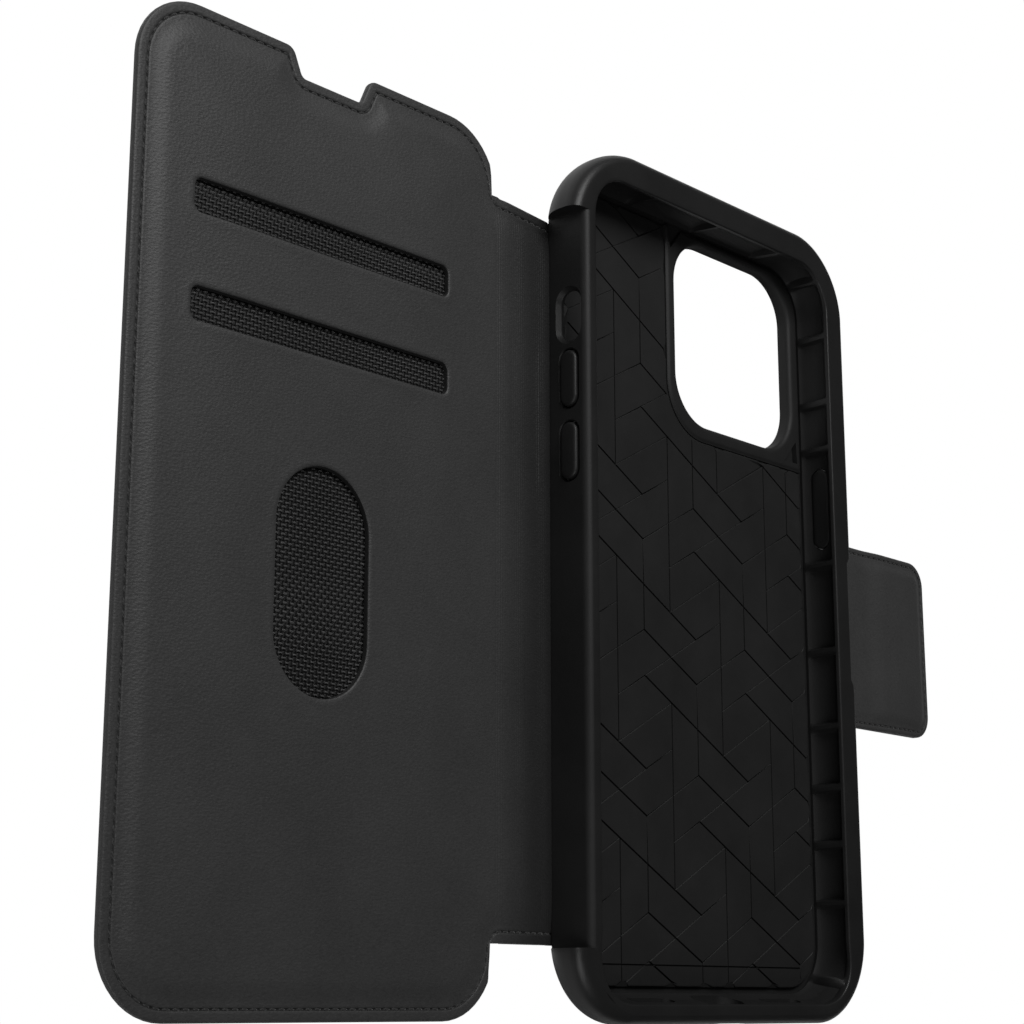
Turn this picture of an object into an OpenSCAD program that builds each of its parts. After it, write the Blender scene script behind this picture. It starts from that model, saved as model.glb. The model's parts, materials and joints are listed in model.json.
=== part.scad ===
// Folio phone case with a card wallet in its cover, lying open on its back, in millimetres.
// +Z points out of the phone's screen, +X from the cover over the tray to the latch tab,
// and +Y to the phone's top. The origin is the middle of the tray's back face.

/* [Phone tray] */
// Width of the pocket that holds the phone
pocket_width = 83; // [82:0.2:84]
// Length of the pocket that holds the phone
pocket_length = 161.8; // [161:0.2:163]
// Inside corner radius of the pocket
pocket_corner = 11; // [9:0.5:13]
// Height of the tray's rim above the table
rim_height = 11.3; // [11:0.1:11.8]
// Thickness of the bumper wall at its fullest
wall_bulge = 5.9; // [5.4:0.1:6.2]
// How far the rim reaches in over the phone's glass
lip_overhang = 1; // [0.6:0.1:1.2]
// Width of the camera window
window_width = 41.3; // [38:0.2:43]
// Height of the camera window
window_height = 41; // [38:0.2:42]

/* [Cover] */
// Width of the cover, from its outer edge to the step at the spine
cover_width = 87; // [86:0.1:88]
// Length of the cover
cover_length = 169.3; // [168:0.1:170]
// Thickness of the padded cover
cover_thick = 4; // [3.9:0.1:4.1]
// Corner radius of the cover
cover_corner = 13; // [10:0.5:15]
// Width of each card slot
slot_width = 60.2; // [57:0.2:62]
// Height of each card slot
slot_height = 6; // [4:0.2:7]
// Width of the thumb window
thumb_width = 21.3; // [18:0.1:23]
// Height of the thumb window
thumb_height = 40.1; // [34:0.1:42]

/* [Spine and latch] */
// Length of the spine along the case
spine_length = 142.8; // [138:0.2:143]
// Length of the latch tab along the case
tab_length = 42.2; // [36:0.2:43]
// Reach of the latch tab beyond its fold
tab_reach = 26.4; // [24:0.1:30]
// Thickness of the latch tab over its magnets
tab_thick = 2.6; // [2.4:0.1:2.8]

/* [Hidden] */
$fn = 48;
leather = [0.13, 0.13, 0.13];
plastic = [0.07, 0.07, 0.07];
thread = [0.04, 0.04, 0.04];
fabric = [0.18, 0.18, 0.18];
steel = [0.55, 0.56, 0.58];
board = [0.45, 0.38, 0.3];
foam = [0.3, 0.3, 0.32];
through = 40;
fit_gap = 0.3;

// Leather and layers
skin_thick = 0.7;
back_thick = 0.8;
seam_gap = 0.15;
layer_gap = 0.02;
skin_lap = 0.5;
stitch_inset = 1.6;
thread_width = 0.45;
thread_rise = 0.2;

// Tray heights and outline
half_width = pocket_width / 2;
half_length = pocket_length / 2;
frame_floor_z = 1.8;
floor_z = 2.6;
bezel_z = 3;
rim_round = 2;
belly_radius = 7;
belly_z = 7.5;
lip_thick = 0.9;
outer_half_width = half_width + wall_bulge;

// Spine recess in the left wall, between the corner caps
recess_x = -half_width - 2.3;
recess_top = 70.9;
recess_bottom = -73;
recess_bevel = 0.8;

// Camera window in the floor, seen from the screen side at the top right
window_x = 16.3;
window_y = 57.9;
window_corner = 10.5;
bezel_left = -7.5;
bezel_bottom = 33.9;
bezel_corner = 12;
bezel_margin = 1;
gusset = 2.4;

// Ribs that grip the phone, and the rim's relief for the latch strap
rib_places = [-62, -49.5, -37.3, -24, -7.3, 12.2, 38.6, 49.5, 65];
end_rib_places = [-20, 2, 24];
rib_width = 1.2;
rib_rise = 0.8;
rib_top = 10;
relief_y = -0.6;
relief_half = 13.1;
relief_depth = 2.5;
relief_slope = 3.4;
relief_z = 7;

// Openings and buttons in the side walls
control_z = 6.6;
mute_y = 49.6;
mute_length = 11.4;
mute_height = 6;
volume_up_y = 36.5;
volume_down_y = 21.8;
volume_length = 11.4;
power_y = 25.3;
power_length = 18;
button_height = 4;
flange = 0.7;
flange_thick = 0.4;
flange_gap = 0.08;
button_proud = 0.5;
recess_margin = 3;
port_length = 13.5;
port_height = 6.6;
speaker_length = 13;
speaker_height = 2.8;
speaker_x = 21;

// Fold lines: the spine at the tray, the cover at the spine, the strap at the tray, the tab at the strap
spine_fold_z = 0.9;
spine_fold_x = recess_x - 2.2;
cover_fold_z = 1.6;
spine_height = rim_height + fit_gap + cover_thick - cover_fold_z - spine_fold_z;
cover_fold_x = spine_fold_x - spine_height;
closed_top = spine_fold_z + spine_height + cover_fold_z;
strap_fold_z = 0.7;
strap_thick = 1.6;
strap_fold_x = outer_half_width + fit_gap + strap_thick - strap_fold_z;
tab_fold_z = 0.9;
strap_height = closed_top + fit_gap + tab_thick - tab_fold_z - strap_fold_z;
tab_fold_x = strap_fold_x + strap_height;
spine_y = -1;
tab_y = -0.6;
fold_clear = 0.25;

// Cover
cover_right = -60.6;
cover_x = cover_right - cover_width / 2;
cover_y = -1.3;
cover_top = cover_y + cover_length / 2;
cover_edge_z = 3;
cover_border = 3.2;
window_line_x = -105.1;
slot_corner = 1.5;
upper_slot_y = 48.7;
lower_slot_y = 29.7;
thumb_y = -13;
notch_x = -104.1;
notch_depth = 5.3;
notch_floor = 14.4;
notch_mouth = 19;
spine_in_z = 1.8;
spine_out_z = 2.9;
lining_thick = 0.2;
lining_seam = 8;
lining_corner = 3;
back_lining_z = 1.3;
divider_z = 1.85;
padding_z = 2.4;
plate_width = 12;
plate_length = 34;
plate_thick = 0.5;

// Latch tab
tab_edge_z = 2;
tab_border = 2.6;
tab_corner = 5.5;
tab_board_thick = 0.35;
magnet_size = 8;
magnet_thick = 0.7;
magnet_pitch = 12;
magnet_place = 0.62;

// Where the magnets come down when the case is closed, and the steel plate that meets them
magnet_closed_x = strap_fold_x - tab_fold_z + strap_fold_z - magnet_place * tab_reach;
plate_x = cover_fold_x + spine_fold_x + cover_fold_z - spine_fold_z - magnet_closed_x;

// Points of an arc, from one angle to another
function arc(cx, cy, r, from, to, steps) =
    [for (i = [0 : steps]) let (a = from + (to - from) * i / steps) [cx + r * cos(a), cy + r * sin(a)]];

// Rectangle with rounded corners, about its centre
module rounded_rect(width, height, r) {
    square([width - 2 * r, height], center = true);
    square([width, height - 2 * r], center = true);
    for (sx = [-1, 1], sy = [-1, 1])
        translate([sx * (width / 2 - r), sy * (height / 2 - r)]) circle(r = r);
}

// Outline of the pocket, grown by a margin
module pocket_outline(grow = 0) {
    rounded_rect(pocket_width + 2 * grow, pocket_length + 2 * grow, pocket_corner + grow);
}

module window_outline(grow = 0) {
    translate([window_x, window_y])
        rounded_rect(window_width + 2 * grow, window_height + 2 * grow, window_corner + grow);
}

// Sweeps a section round the pocket; the section's x runs out from the pocket's wall
module around_pocket() {
    run_x = half_width - pocket_corner;
    run_y = half_length - pocket_corner;
    for (corner = [[1, 1, 0], [-1, 1, 90], [-1, -1, 180], [1, -1, 270]])
        translate([corner[0] * run_x, corner[1] * run_y, 0])
            rotate([0, 0, corner[2]]) rotate_extrude(angle = 90) translate([pocket_corner, 0]) children();
    for (side = [0, 180])
        rotate([0, 0, side]) translate([half_width, 0, 0])
            rotate([90, 0, 0]) linear_extrude(height = 2 * run_y, center = true) children();
    for (side = [90, 270])
        rotate([0, 0, side]) translate([half_length, 0, 0])
            rotate([90, 0, 0]) linear_extrude(height = 2 * run_x, center = true) children();
}

// Section of the bumper wall with its rim, lip and rounded belly
module wall_section() {
    belly_turn = asin((belly_z - back_thick) / belly_radius);
    polygon(concat(
        [[-lip_overhang, rim_height - lip_thick], [-lip_overhang, rim_height]],
        arc(wall_bulge - rim_round, rim_height - rim_round, rim_round, 90, 0, 6),
        arc(wall_bulge - belly_radius, belly_z, belly_radius, 0, -belly_turn, 10),
        [[0, back_thick], [0, rim_height - lip_thick - lip_overhang]]));
}

// Round-ended slot through a side wall, along Y
module side_slot(y, z, length, height, depth) {
    translate([0, y, z]) rotate([0, 90, 0])
        linear_extrude(height = depth, center = true) rounded_rect(height, length, height / 2 - 0.01);
}

// Round-ended slot through an end wall, along X
module end_slot(x, z, length, height, depth) {
    translate([x, 0, z]) rotate([90, 0, 0])
        linear_extrude(height = depth, center = true) rounded_rect(length, height, height / 2 - 0.01);
}

module wall_openings() {
    wall = 8;
    bed_depth = 2.4;
    hole = button_height + 2 * fit_gap;
    translate([recess_x, 0, 0]) {
        side_slot(mute_y, control_z, mute_length, mute_height, wall);
        side_slot(volume_up_y, control_z, volume_length + 2 * fit_gap, hole, wall);
        side_slot(volume_down_y, control_z, volume_length + 2 * fit_gap, hole, wall);
    }
    translate([half_width + wall_bulge / 2, 0, 0])
        side_slot(power_y, control_z, power_length + 2 * fit_gap, hole, 2 * wall);
    translate([half_width, 0, 0])
        side_slot(power_y, control_z, power_length + 2 * recess_margin, button_height + recess_margin,
                  bed_depth);
    translate([0, -half_length - wall_bulge / 2, 0]) {
        end_slot(0, control_z, port_length, port_height, 2 * wall);
        for (side = [-1, 1]) end_slot(side * speaker_x, control_z, speaker_length, speaker_height, 2 * wall);
    }
}

// Recess that the closed spine lies in, with a bevelled top edge
module spine_recess() {
    depth = 10;
    rotate([90, 0, 0]) translate([0, 0, -recess_top]) linear_extrude(height = recess_top - recess_bottom)
        polygon([[recess_x, -1], [recess_x, rim_height - recess_bevel], [recess_x + recess_bevel, rim_height],
                 [recess_x + recess_bevel, rim_height + 1], [recess_x - depth, rim_height + 1],
                 [recess_x - depth, -1]]);
}

// Relief in the outer edge of the right rim
module strap_relief() {
    translate([outer_half_width, relief_y, relief_z]) linear_extrude(height = through)
        polygon([[-relief_depth, -relief_half], [-relief_depth, relief_half],
                 [1, relief_half + relief_slope + 1], [1, -relief_half - relief_slope - 1]]);
}

module grip_ribs() {
    height = rib_top - frame_floor_z;
    for (side = [-1, 1], y = rib_places)
        if (side > 0 || abs(y - volume_up_y) > volume_length / 2 + flange + rib_width)
            translate([side * (half_width + 0.1 - rib_rise / 2), y, frame_floor_z + height / 2])
                cube([rib_rise + 0.2, rib_width, height], center = true);
    for (x = end_rib_places)
        translate([x, half_length + 0.1 - rib_rise / 2, frame_floor_z + height / 2])
            cube([rib_width, rib_rise + 0.2, height], center = true);
}

// Bumper wall and floor plate, moulded in one
module tray_frame() color(plastic) {
    difference() {
        union() {
            around_pocket() wall_section();
            translate([0, 0, back_thick]) linear_extrude(height = frame_floor_z - back_thick)
                pocket_outline(0.2);
        }
        translate([0, 0, -1]) linear_extrude(height = 5) window_outline();
        spine_recess();
        strap_relief();
        wall_openings();
    }
    difference() {
        grip_ribs();
        wall_openings();
    }
}

// Liner with the line pattern, bonded on the floor plate round the camera bezel
module floor_panel() color(plastic) {
    margin = 1.2;
    translate([0, 0, frame_floor_z]) linear_extrude(height = floor_z - frame_floor_z) difference() {
        pocket_outline(-margin);
        bezel_outline(0.1);
    }
}

module bezel_outline(grow = 0) {
    far = 60;
    intersection() {
        pocket_outline(-bezel_margin + grow);
        translate([bezel_left + far - grow, bezel_bottom + far - grow])
            rounded_rect(2 * far, 2 * far, bezel_corner);
    }
}

// Raised ring round the camera window, with a small triangular gusset at two corners
module camera_bezel() color(plastic) {
    translate([0, 0, frame_floor_z]) difference() {
        linear_extrude(height = bezel_z - frame_floor_z) difference() {
            bezel_outline();
            window_outline();
        }
        for (place = [[bezel_left + 5.2, window_y + window_height / 2 + 0.6, 0],
                      [window_x + window_width / 2 + 0.6, bezel_bottom + 5.2, 180]])
            translate([place[0], place[1], floor_z - frame_floor_z]) rotate([0, 0, place[2]])
                linear_extrude(height = 1) polygon([[-gusset, 0], [0, 0], [0, -gusset]]);
    }
}

// Leather over the tray's back, with a ledge at the spine's fold and one at the strap's fold
module back_skin() color(leather) {
    under_wall = 0.5;
    window_gap = 0.4;
    linear_extrude(height = back_thick - layer_gap) difference() {
        union() {
            pocket_outline(under_wall);
            translate([spine_fold_x + seam_gap, spine_y - spine_length / 2])
                square([half_width, spine_length]);
            translate([0, tab_y - tab_length / 2])
                square([strap_fold_x - seam_gap, tab_length]);
        }
        window_outline(window_gap);
    }
}

// Push button: a round-ended pad through the wall with a flange inside it
module button(length, reach) {
    linear_extrude(height = reach) rounded_rect(button_height, length, button_height / 2 - 0.01);
    linear_extrude(height = flange_thick)
        rounded_rect(button_height + 2 * flange, length + 2 * flange, button_height / 2);
}

module left_button(y) {
    reach = -recess_x + button_proud - half_width + flange_gap + flange_thick;
    translate([-half_width + flange_gap + flange_thick, y, control_z]) rotate([0, -90, 0])
        button(volume_length, reach);
}

module volume_up_button() color(plastic) left_button(volume_up_y);

module volume_down_button() color(plastic) left_button(volume_down_y);

module power_button() color(plastic) {
    bed = half_width + 1.2 - flange_gap - flange_thick;
    set_back = 0.2;
    translate([bed, power_y, control_z]) rotate([0, 90, 0])
        button(power_length, outer_half_width - set_back - bed);
}

// Spine layers: a wedge that thickens from the tray to the cover
module spine_slab(from_s, to_s, low, high_in, high_out) {
    slope = (high_out - high_in) / spine_height;
    translate([0, spine_y, 0]) rotate([90, 0, 0]) linear_extrude(height = spine_length, center = true)
        polygon([[spine_fold_x - from_s, low], [spine_fold_x - to_s, low],
                 [spine_fold_x - to_s, high_in + slope * to_s],
                 [spine_fold_x - from_s, high_in + slope * from_s]]);
}

module spine_outer_skin() color(leather)
    spine_slab(seam_gap, spine_height - seam_gap, 0, skin_thick, skin_thick);

module spine_core() color(foam)
    spine_slab(fold_clear + spine_in_z - spine_fold_z, spine_height - fold_clear - spine_out_z + cover_fold_z,
               skin_thick, spine_in_z - skin_thick, spine_out_z - skin_thick);

module spine_inner_skin() color(leather) {
    slope = (spine_out_z - spine_in_z) / spine_height;
    from_s = fold_clear + spine_in_z - spine_fold_z;
    to_s = spine_height - fold_clear - spine_out_z + cover_fold_z;
    translate([0, spine_y, 0]) rotate([90, 0, 0]) linear_extrude(height = spine_length, center = true)
        polygon([for (p = [[from_s, -skin_thick], [to_s, -skin_thick], [to_s, 0], [from_s, 0]])
                 [spine_fold_x - p[0], spine_in_z + slope * p[0] + p[1]]]);
}

// Thread along the spine's two ends
module spine_stitching() color(thread) {
    slope = (spine_out_z - spine_in_z) / spine_height;
    from_s = 2;
    to_s = spine_height - 2.4;
    for (side = [-1, 1])
        translate([0, spine_y + side * (spine_length / 2 - stitch_inset), 0])
            rotate([90, 0, 0]) linear_extrude(height = thread_width, center = true)
                polygon([for (p = [[from_s, 0], [to_s, 0], [to_s, thread_rise], [from_s, thread_rise]])
                         [spine_fold_x - p[0], spine_in_z + slope * p[0] + p[1]]]);
}

// Outline of the cover with its notch at the top and its neck at the spine
module cover_outline(inset = 0, fold_set = seam_gap) {
    soft = 2.4;
    tuck = 1.4;
    offset(r = -inset) intersection() {
        offset(r = soft) offset(r = -soft - tuck) offset(r = tuck) {
            difference() {
                translate([cover_x, cover_y]) rounded_rect(cover_width, cover_length, cover_corner);
                translate([notch_x, cover_top])
                    polygon([[-notch_mouth / 2, 0], [-notch_floor / 2, -notch_depth],
                             [notch_floor / 2, -notch_depth], [notch_mouth / 2, 0],
                             [notch_mouth / 2, 5], [-notch_mouth / 2, 5]]);
            }
            translate([cover_right - cover_corner, spine_y - spine_length / 2])
                square([cover_corner + 20, spine_length]);
        }
        translate([cover_x - cover_width, -cover_length])
            square([cover_fold_x - fold_set + inset - cover_x + cover_width, 2 * cover_length]);
    }
}

// Body of the cover only, without the neck
module cover_field(inset) {
    intersection() {
        cover_outline(inset);
        translate([cover_x - cover_width, -cover_length])
            square([cover_right - inset - cover_x + cover_width, 2 * cover_length]);
    }
}

module card_windows(grow = 0) {
    for (y = [upper_slot_y, lower_slot_y])
        translate([window_line_x, y])
            rounded_rect(slot_width + 2 * grow, slot_height + 2 * grow, slot_corner + grow);
    translate([window_line_x, thumb_y])
        rounded_rect(thumb_width + 2 * grow, thumb_height + 2 * grow, thumb_width / 2 + grow - 0.01);
}

module cover_outer_skin() color(leather)
    linear_extrude(height = skin_thick) cover_outline();

module plate_outline(grow = 0) {
    translate([plate_x, tab_y]) rounded_rect(plate_width + 2 * grow, plate_length + 2 * grow, 1);
}

// Stiff board with a cut-out for the catch plate
module cover_board() color(board)
    translate([0, 0, skin_thick]) linear_extrude(height = back_lining_z - skin_thick - layer_gap)
        difference() {
            cover_field(cover_border + fit_gap);
            plate_outline(fit_gap);
        }

// Fabric sheet that a card slides against, as wide as the slots and their side seams
module pocket_lining(middle_y, length, z) color(fabric)
    translate([window_line_x, middle_y, z]) linear_extrude(height = lining_thick)
        rounded_rect(slot_width + lining_seam, length, lining_corner);

module pocket_back_lining() pocket_lining(6, 116, back_lining_z);

module pocket_divider() pocket_lining(-3.5, 90, divider_z);

module cover_padding() color(foam)
    translate([0, 0, padding_z]) linear_extrude(height = cover_thick - skin_thick - padding_z - layer_gap)
        difference() {
            cover_field(cover_border + fit_gap);
            card_windows(1);
        }

// Inner leather: a raised field with the card slots and thumb window, inside a pressed border
module cover_inner_skin() color(leather) {
    neck_set = fold_clear + spine_out_z - cover_fold_z;
    translate([0, 0, skin_thick]) linear_extrude(height = cover_edge_z - skin_thick) difference() {
        cover_outline(0, neck_set);
        cover_field(cover_border);
    }
    translate([0, 0, cover_thick - skin_thick]) linear_extrude(height = skin_thick) difference() {
        cover_field(cover_border - skin_lap);
        card_windows();
    }
    translate([0, 0, cover_edge_z - skin_lap])
        linear_extrude(height = cover_thick - skin_thick - cover_edge_z + skin_lap + 0.1) difference() {
            cover_field(cover_border - skin_lap);
            cover_field(cover_border);
        }
}

// Steel plate under the outer skin that the latch's magnets hold on to
module cover_catch_plate() color(steel)
    translate([0, 0, skin_thick]) linear_extrude(height = plate_thick) plate_outline();

module cover_stitching() color(thread)
    translate([0, 0, cover_edge_z]) linear_extrude(height = thread_rise) difference() {
        cover_field(stitch_inset - thread_width / 2);
        cover_field(stitch_inset + thread_width / 2);
    }

// Strap between the tray's back and the latch tab
module strap_layer(inset, low, high) {
    translate([(strap_fold_x + tab_fold_x) / 2, tab_y, (low + high) / 2])
        cube([strap_height - 2 * inset, tab_length, high - low], center = true);
}

module strap_outer_skin() color(leather) strap_layer(seam_gap, 0, skin_thick);

module strap_inner_skin() color(leather)
    strap_layer(fold_clear + strap_thick - strap_fold_z, skin_thick, strap_thick);

// Outline of the latch tab, square at its fold and rounded at its free corners
module tab_outline(inset = 0, fold_set = seam_gap) {
    left = tab_fold_x + fold_set;
    right = tab_fold_x + tab_reach - inset;
    intersection() {
        translate([right - tab_reach, tab_y])
            rounded_rect(2 * tab_reach, tab_length - 2 * inset, tab_corner - inset);
        translate([left, tab_y - tab_length]) square([tab_reach, 2 * tab_length]);
    }
}

module tab_outer_skin() color(leather) linear_extrude(height = skin_thick) tab_outline();

module tab_board() color(board)
    translate([0, 0, skin_thick]) linear_extrude(height = tab_board_thick)
        tab_outline(tab_border + fit_gap, 3.4);

module tab_magnets() color(steel)
    for (i = [-1 : 1])
        translate([tab_fold_x + magnet_place * tab_reach, tab_y + i * magnet_pitch,
                   skin_thick + tab_board_thick + layer_gap])
            linear_extrude(height = magnet_thick) square([magnet_size, magnet_size], center = true);

module tab_inner_skin() color(leather) {
    fold_set = fold_clear + tab_edge_z - tab_fold_z;
    translate([0, 0, skin_thick]) linear_extrude(height = tab_edge_z - skin_thick) difference() {
        tab_outline(0, fold_set);
        tab_outline(tab_border, 3);
    }
    translate([0, 0, tab_edge_z - 0.2]) linear_extrude(height = tab_thick - tab_edge_z + 0.2)
        tab_outline(tab_border - 0.5, 2.6);
}

module tab_stitching() color(thread)
    translate([0, 0, tab_edge_z]) linear_extrude(height = thread_rise) difference() {
        tab_outline(stitch_inset - thread_width / 2, 2);
        tab_outline(stitch_inset + thread_width / 2, 1);
    }

tray_frame();
floor_panel();
camera_bezel();
back_skin();
volume_up_button();
volume_down_button();
power_button();
spine_outer_skin();
spine_core();
spine_inner_skin();
spine_stitching();
cover_outer_skin();
cover_board();
pocket_back_lining();
pocket_divider();
cover_padding();
cover_inner_skin();
cover_catch_plate();
cover_stitching();
strap_outer_skin();
strap_inner_skin();
tab_outer_skin();
tab_board();
tab_magnets();
tab_inner_skin();
tab_stitching();
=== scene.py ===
import json
import math
import bmesh
import bpy
import numpy as np
from mathutils import Matrix, Vector
from mathutils.geometry import delaunay_2d_cdt


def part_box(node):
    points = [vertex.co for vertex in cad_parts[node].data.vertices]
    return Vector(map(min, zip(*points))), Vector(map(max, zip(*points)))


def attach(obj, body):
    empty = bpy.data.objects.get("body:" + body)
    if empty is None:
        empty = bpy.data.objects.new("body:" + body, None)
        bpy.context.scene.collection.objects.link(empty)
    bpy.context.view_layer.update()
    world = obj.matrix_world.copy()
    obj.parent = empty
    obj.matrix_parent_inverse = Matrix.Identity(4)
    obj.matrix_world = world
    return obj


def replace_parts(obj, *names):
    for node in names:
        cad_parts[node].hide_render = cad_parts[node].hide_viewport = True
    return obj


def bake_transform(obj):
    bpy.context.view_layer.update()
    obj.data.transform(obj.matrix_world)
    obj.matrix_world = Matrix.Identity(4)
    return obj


# Looks of a folio phone case that lies open on its back. Lengths here are in millimetres, and
# new_piece() turns them into metres. The frame is the CAD model's: +Z out of the phone's screen,
# +X from the cover over the tray to the latch tab, +Y to the phone's top.
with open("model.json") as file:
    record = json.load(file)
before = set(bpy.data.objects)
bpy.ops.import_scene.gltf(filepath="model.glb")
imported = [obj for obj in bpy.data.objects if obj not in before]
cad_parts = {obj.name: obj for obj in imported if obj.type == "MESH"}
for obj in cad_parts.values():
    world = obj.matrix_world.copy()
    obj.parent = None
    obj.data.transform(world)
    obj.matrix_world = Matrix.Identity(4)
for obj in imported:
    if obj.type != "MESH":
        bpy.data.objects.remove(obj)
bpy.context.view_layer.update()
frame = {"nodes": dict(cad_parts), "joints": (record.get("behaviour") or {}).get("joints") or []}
MM = 0.001
JOINTS = {joint["name"]: joint for joint in frame["joints"]}


def box_mm(node):
    """Lowest and highest corner of a CAD node, in millimetres."""
    low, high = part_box(node)
    return np.array(low) / MM, np.array(high) / MM


def fold_x(joint):
    """Place of a fold line along X, in millimetres."""
    return JOINTS[joint]["pos_m"][0] / MM


# Heights and outlines that the CAD model gives
TRAY_LOW, TRAY_HIGH = box_mm("tray_frame")
FLOOR_LOW, FLOOR_HIGH = box_mm("floor_panel")
BEZEL_LOW, BEZEL_HIGH = box_mm("camera_bezel")
RIM_Z = TRAY_HIGH[2]
WALL_BULGE = 5.9
OUTER_HALF = TRAY_HIGH[:2]
POCKET_HALF = OUTER_HALF - WALL_BULGE
POCKET_CORNER = 11
RECESS_X = -POCKET_HALF[0] - 2.3
RECESS_ENDS = (-73, 70.9)
FLOOR_Z = FLOOR_HIGH[2]
CONTROL_Z = 6.6

# Folds, and the lines where the leather pieces meet
SPINE_FOLD = fold_x("spine_fold")
COVER_FOLD = fold_x("cover_fold")
STRAP_FOLD = fold_x("strap_fold")
TAB_FOLD = fold_x("tab_fold")
SPINE_MIDDLE = (SPINE_FOLD + COVER_FOLD) / 2
STRAP_MIDDLE = (STRAP_FOLD + TAB_FOLD) / 2
SPINE_END = RECESS_X - 0.2
STRAP_START = STRAP_FOLD - 2.2

# Leather
SKIN = 0.7
COVER_Z = 4.0
BORDER_Z = 2.85
EDGE_LIFT = 1.5
CROWN = 0.5
LIFT_WIDTH = 3.3
STITCH_INSET = 2.1
TAB_STITCH = 1.35
GROOVE_WIDTH = 0.2
STITCH_PITCH = 1.95
STITCH_LENGTH = 1.55
EDGE_ROUND = 0.5
EDGE_STEPS = (0.06, 0.16, 0.3, 0.5)
BORDER_STEPS = EDGE_STEPS + (0.9, 1.4, 1.7, 1.86, 1.98, 2.1, 2.22, 2.34, 2.5, 2.8, 3.2, 3.7, 4.2, 4.8, 5.4,
                             6, 6.8)
WINDOW_STEPS = (0.06, 0.16, 0.35, 0.8, 1.4, 2.4)
RIB_PITCH = 0.7
COLUMN = RIB_PITCH / 6


# ---------------------------------------------------------------- mesh helpers
def new_piece(name, verts, faces, materials, crease_deg=38):
    """A mesh object from points in millimetres, smooth but for edges over an angle."""
    mesh = bpy.data.meshes.new(name)
    mesh.from_pydata((np.asarray(verts, float) * MM).tolist(), [], [tuple(f) for f in faces])
    mesh.update()
    mesh.polygons.foreach_set("use_smooth", [True] * len(mesh.polygons))
    mesh.set_sharp_from_angle(angle=math.radians(crease_deg))
    for look in materials:
        mesh.materials.append(look)
    piece = bpy.data.objects.new(name, mesh)
    bpy.context.scene.collection.objects.link(piece)
    return piece


def smooth_step(t):
    """0 to 1, with a level start and end."""
    t = np.clip(t, 0, 1)
    return t * t * (3 - 2 * t)


def quarter_drop(distance, radius):
    """How far a quarter-round edge lies under the flat, at a distance from the edge."""
    t = np.clip(radius - distance, 0, radius)
    return radius - np.sqrt(np.maximum(radius ** 2 - t ** 2, 0))


def closed(loop):
    """A loop with its first point again at its end."""
    return np.vstack([loop, loop[:1]])


def resample(path, step):
    """Adds points along a polyline so that no stretch is longer than step."""
    out = [path[0]]
    for a, b in zip(path[:-1], path[1:]):
        count = max(1, math.ceil(np.linalg.norm(b - a) / step))
        out += [a + (b - a) * k / count for k in range(1, count + 1)]
    return np.array(out)


def resample_ring(loop, step):
    """A closed loop with no stretch longer than step."""
    return resample(closed(loop), step)[:-1]


def distance_to(points, path):
    """Distance of each point from a polyline."""
    points, start, run = np.asarray(points), path[:-1], path[1:] - path[:-1]
    length2 = np.maximum((run ** 2).sum(1), 1e-12)
    best = []
    for part in np.array_split(points, max(1, len(points) // 1500)):
        rel = part[:, None, :] - start
        t = np.clip((rel * run).sum(2) / length2, 0, 1)
        best.append(np.sqrt(((rel - t[..., None] * run) ** 2).sum(2).min(1)))
    return np.concatenate(best)


def inside(points, loop):
    """Which points lie inside a closed loop."""
    x, y = np.asarray(points)[:, 0, None], np.asarray(points)[:, 1, None]
    a, b = loop, np.roll(loop, -1, 0)
    crosses = (a[:, 1] > y) != (b[:, 1] > y)
    span = np.where(np.abs(b[:, 1] - a[:, 1]) < 1e-12, 1e-12, b[:, 1] - a[:, 1])
    at = a[:, 0] + (y - a[:, 1]) / span * (b[:, 0] - a[:, 0])
    return (crosses & (x < at)).sum(1) % 2 == 1


def normals_of(path, is_ring):
    """Unit normals to the left of a path's travel."""
    if is_ring:
        run = np.roll(path, -1, 0) - np.roll(path, 1, 0)
    else:
        run = np.gradient(path, axis=0)
    run = run / np.maximum(np.linalg.norm(run, axis=1, keepdims=True), 1e-9)
    return np.stack([-run[:, 1], run[:, 0]], 1)


def offsets(path, steps, is_ring):
    """Points at each step to the left of a path, without those that a tight corner folds over."""
    whole = closed(path) if is_ring else path
    normal = normals_of(path, is_ring)
    found = []
    for step in steps:
        moved = path + normal * step
        found.append(moved[distance_to(moved, whole) > step * 0.97])
    return np.vstack(found)


def area_of(loop):
    """Signed area of a loop, above 0 where it runs anticlockwise."""
    x, y = loop[:, 0], loop[:, 1]
    return 0.5 * float((x * np.roll(y, -1) - np.roll(x, -1) * y).sum())


def outlines(node):
    """Loops round a CAD node's top face, largest first: the outer one anticlockwise, holes clockwise."""
    mesh = frame["nodes"][node].data
    points = np.array([v.co for v in mesh.vertices]) / MM
    key = [tuple(np.round(p, 3)) for p in points]
    top = points[:, 2].max()
    count = {}
    for face in mesh.polygons:
        corners = [key[i] for i in face.vertices]
        if all(abs(c[2] - top) < 0.01 for c in corners):
            for a, b in zip(corners, corners[1:] + corners[:1]):
                count[(a, b)] = count.get((a, b), 0) + 1
    follow = {a: b for (a, b) in count if (b, a) not in count}
    loops = []
    while follow:
        start = next(iter(follow))
        loop = [start]
        while loop[-1] in follow:
            loop.append(follow.pop(loop[-1]))
        loops.append(np.array(loop[:-1])[:, :2])
    return sorted(loops, key=lambda l: -abs(area_of(l)))


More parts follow.
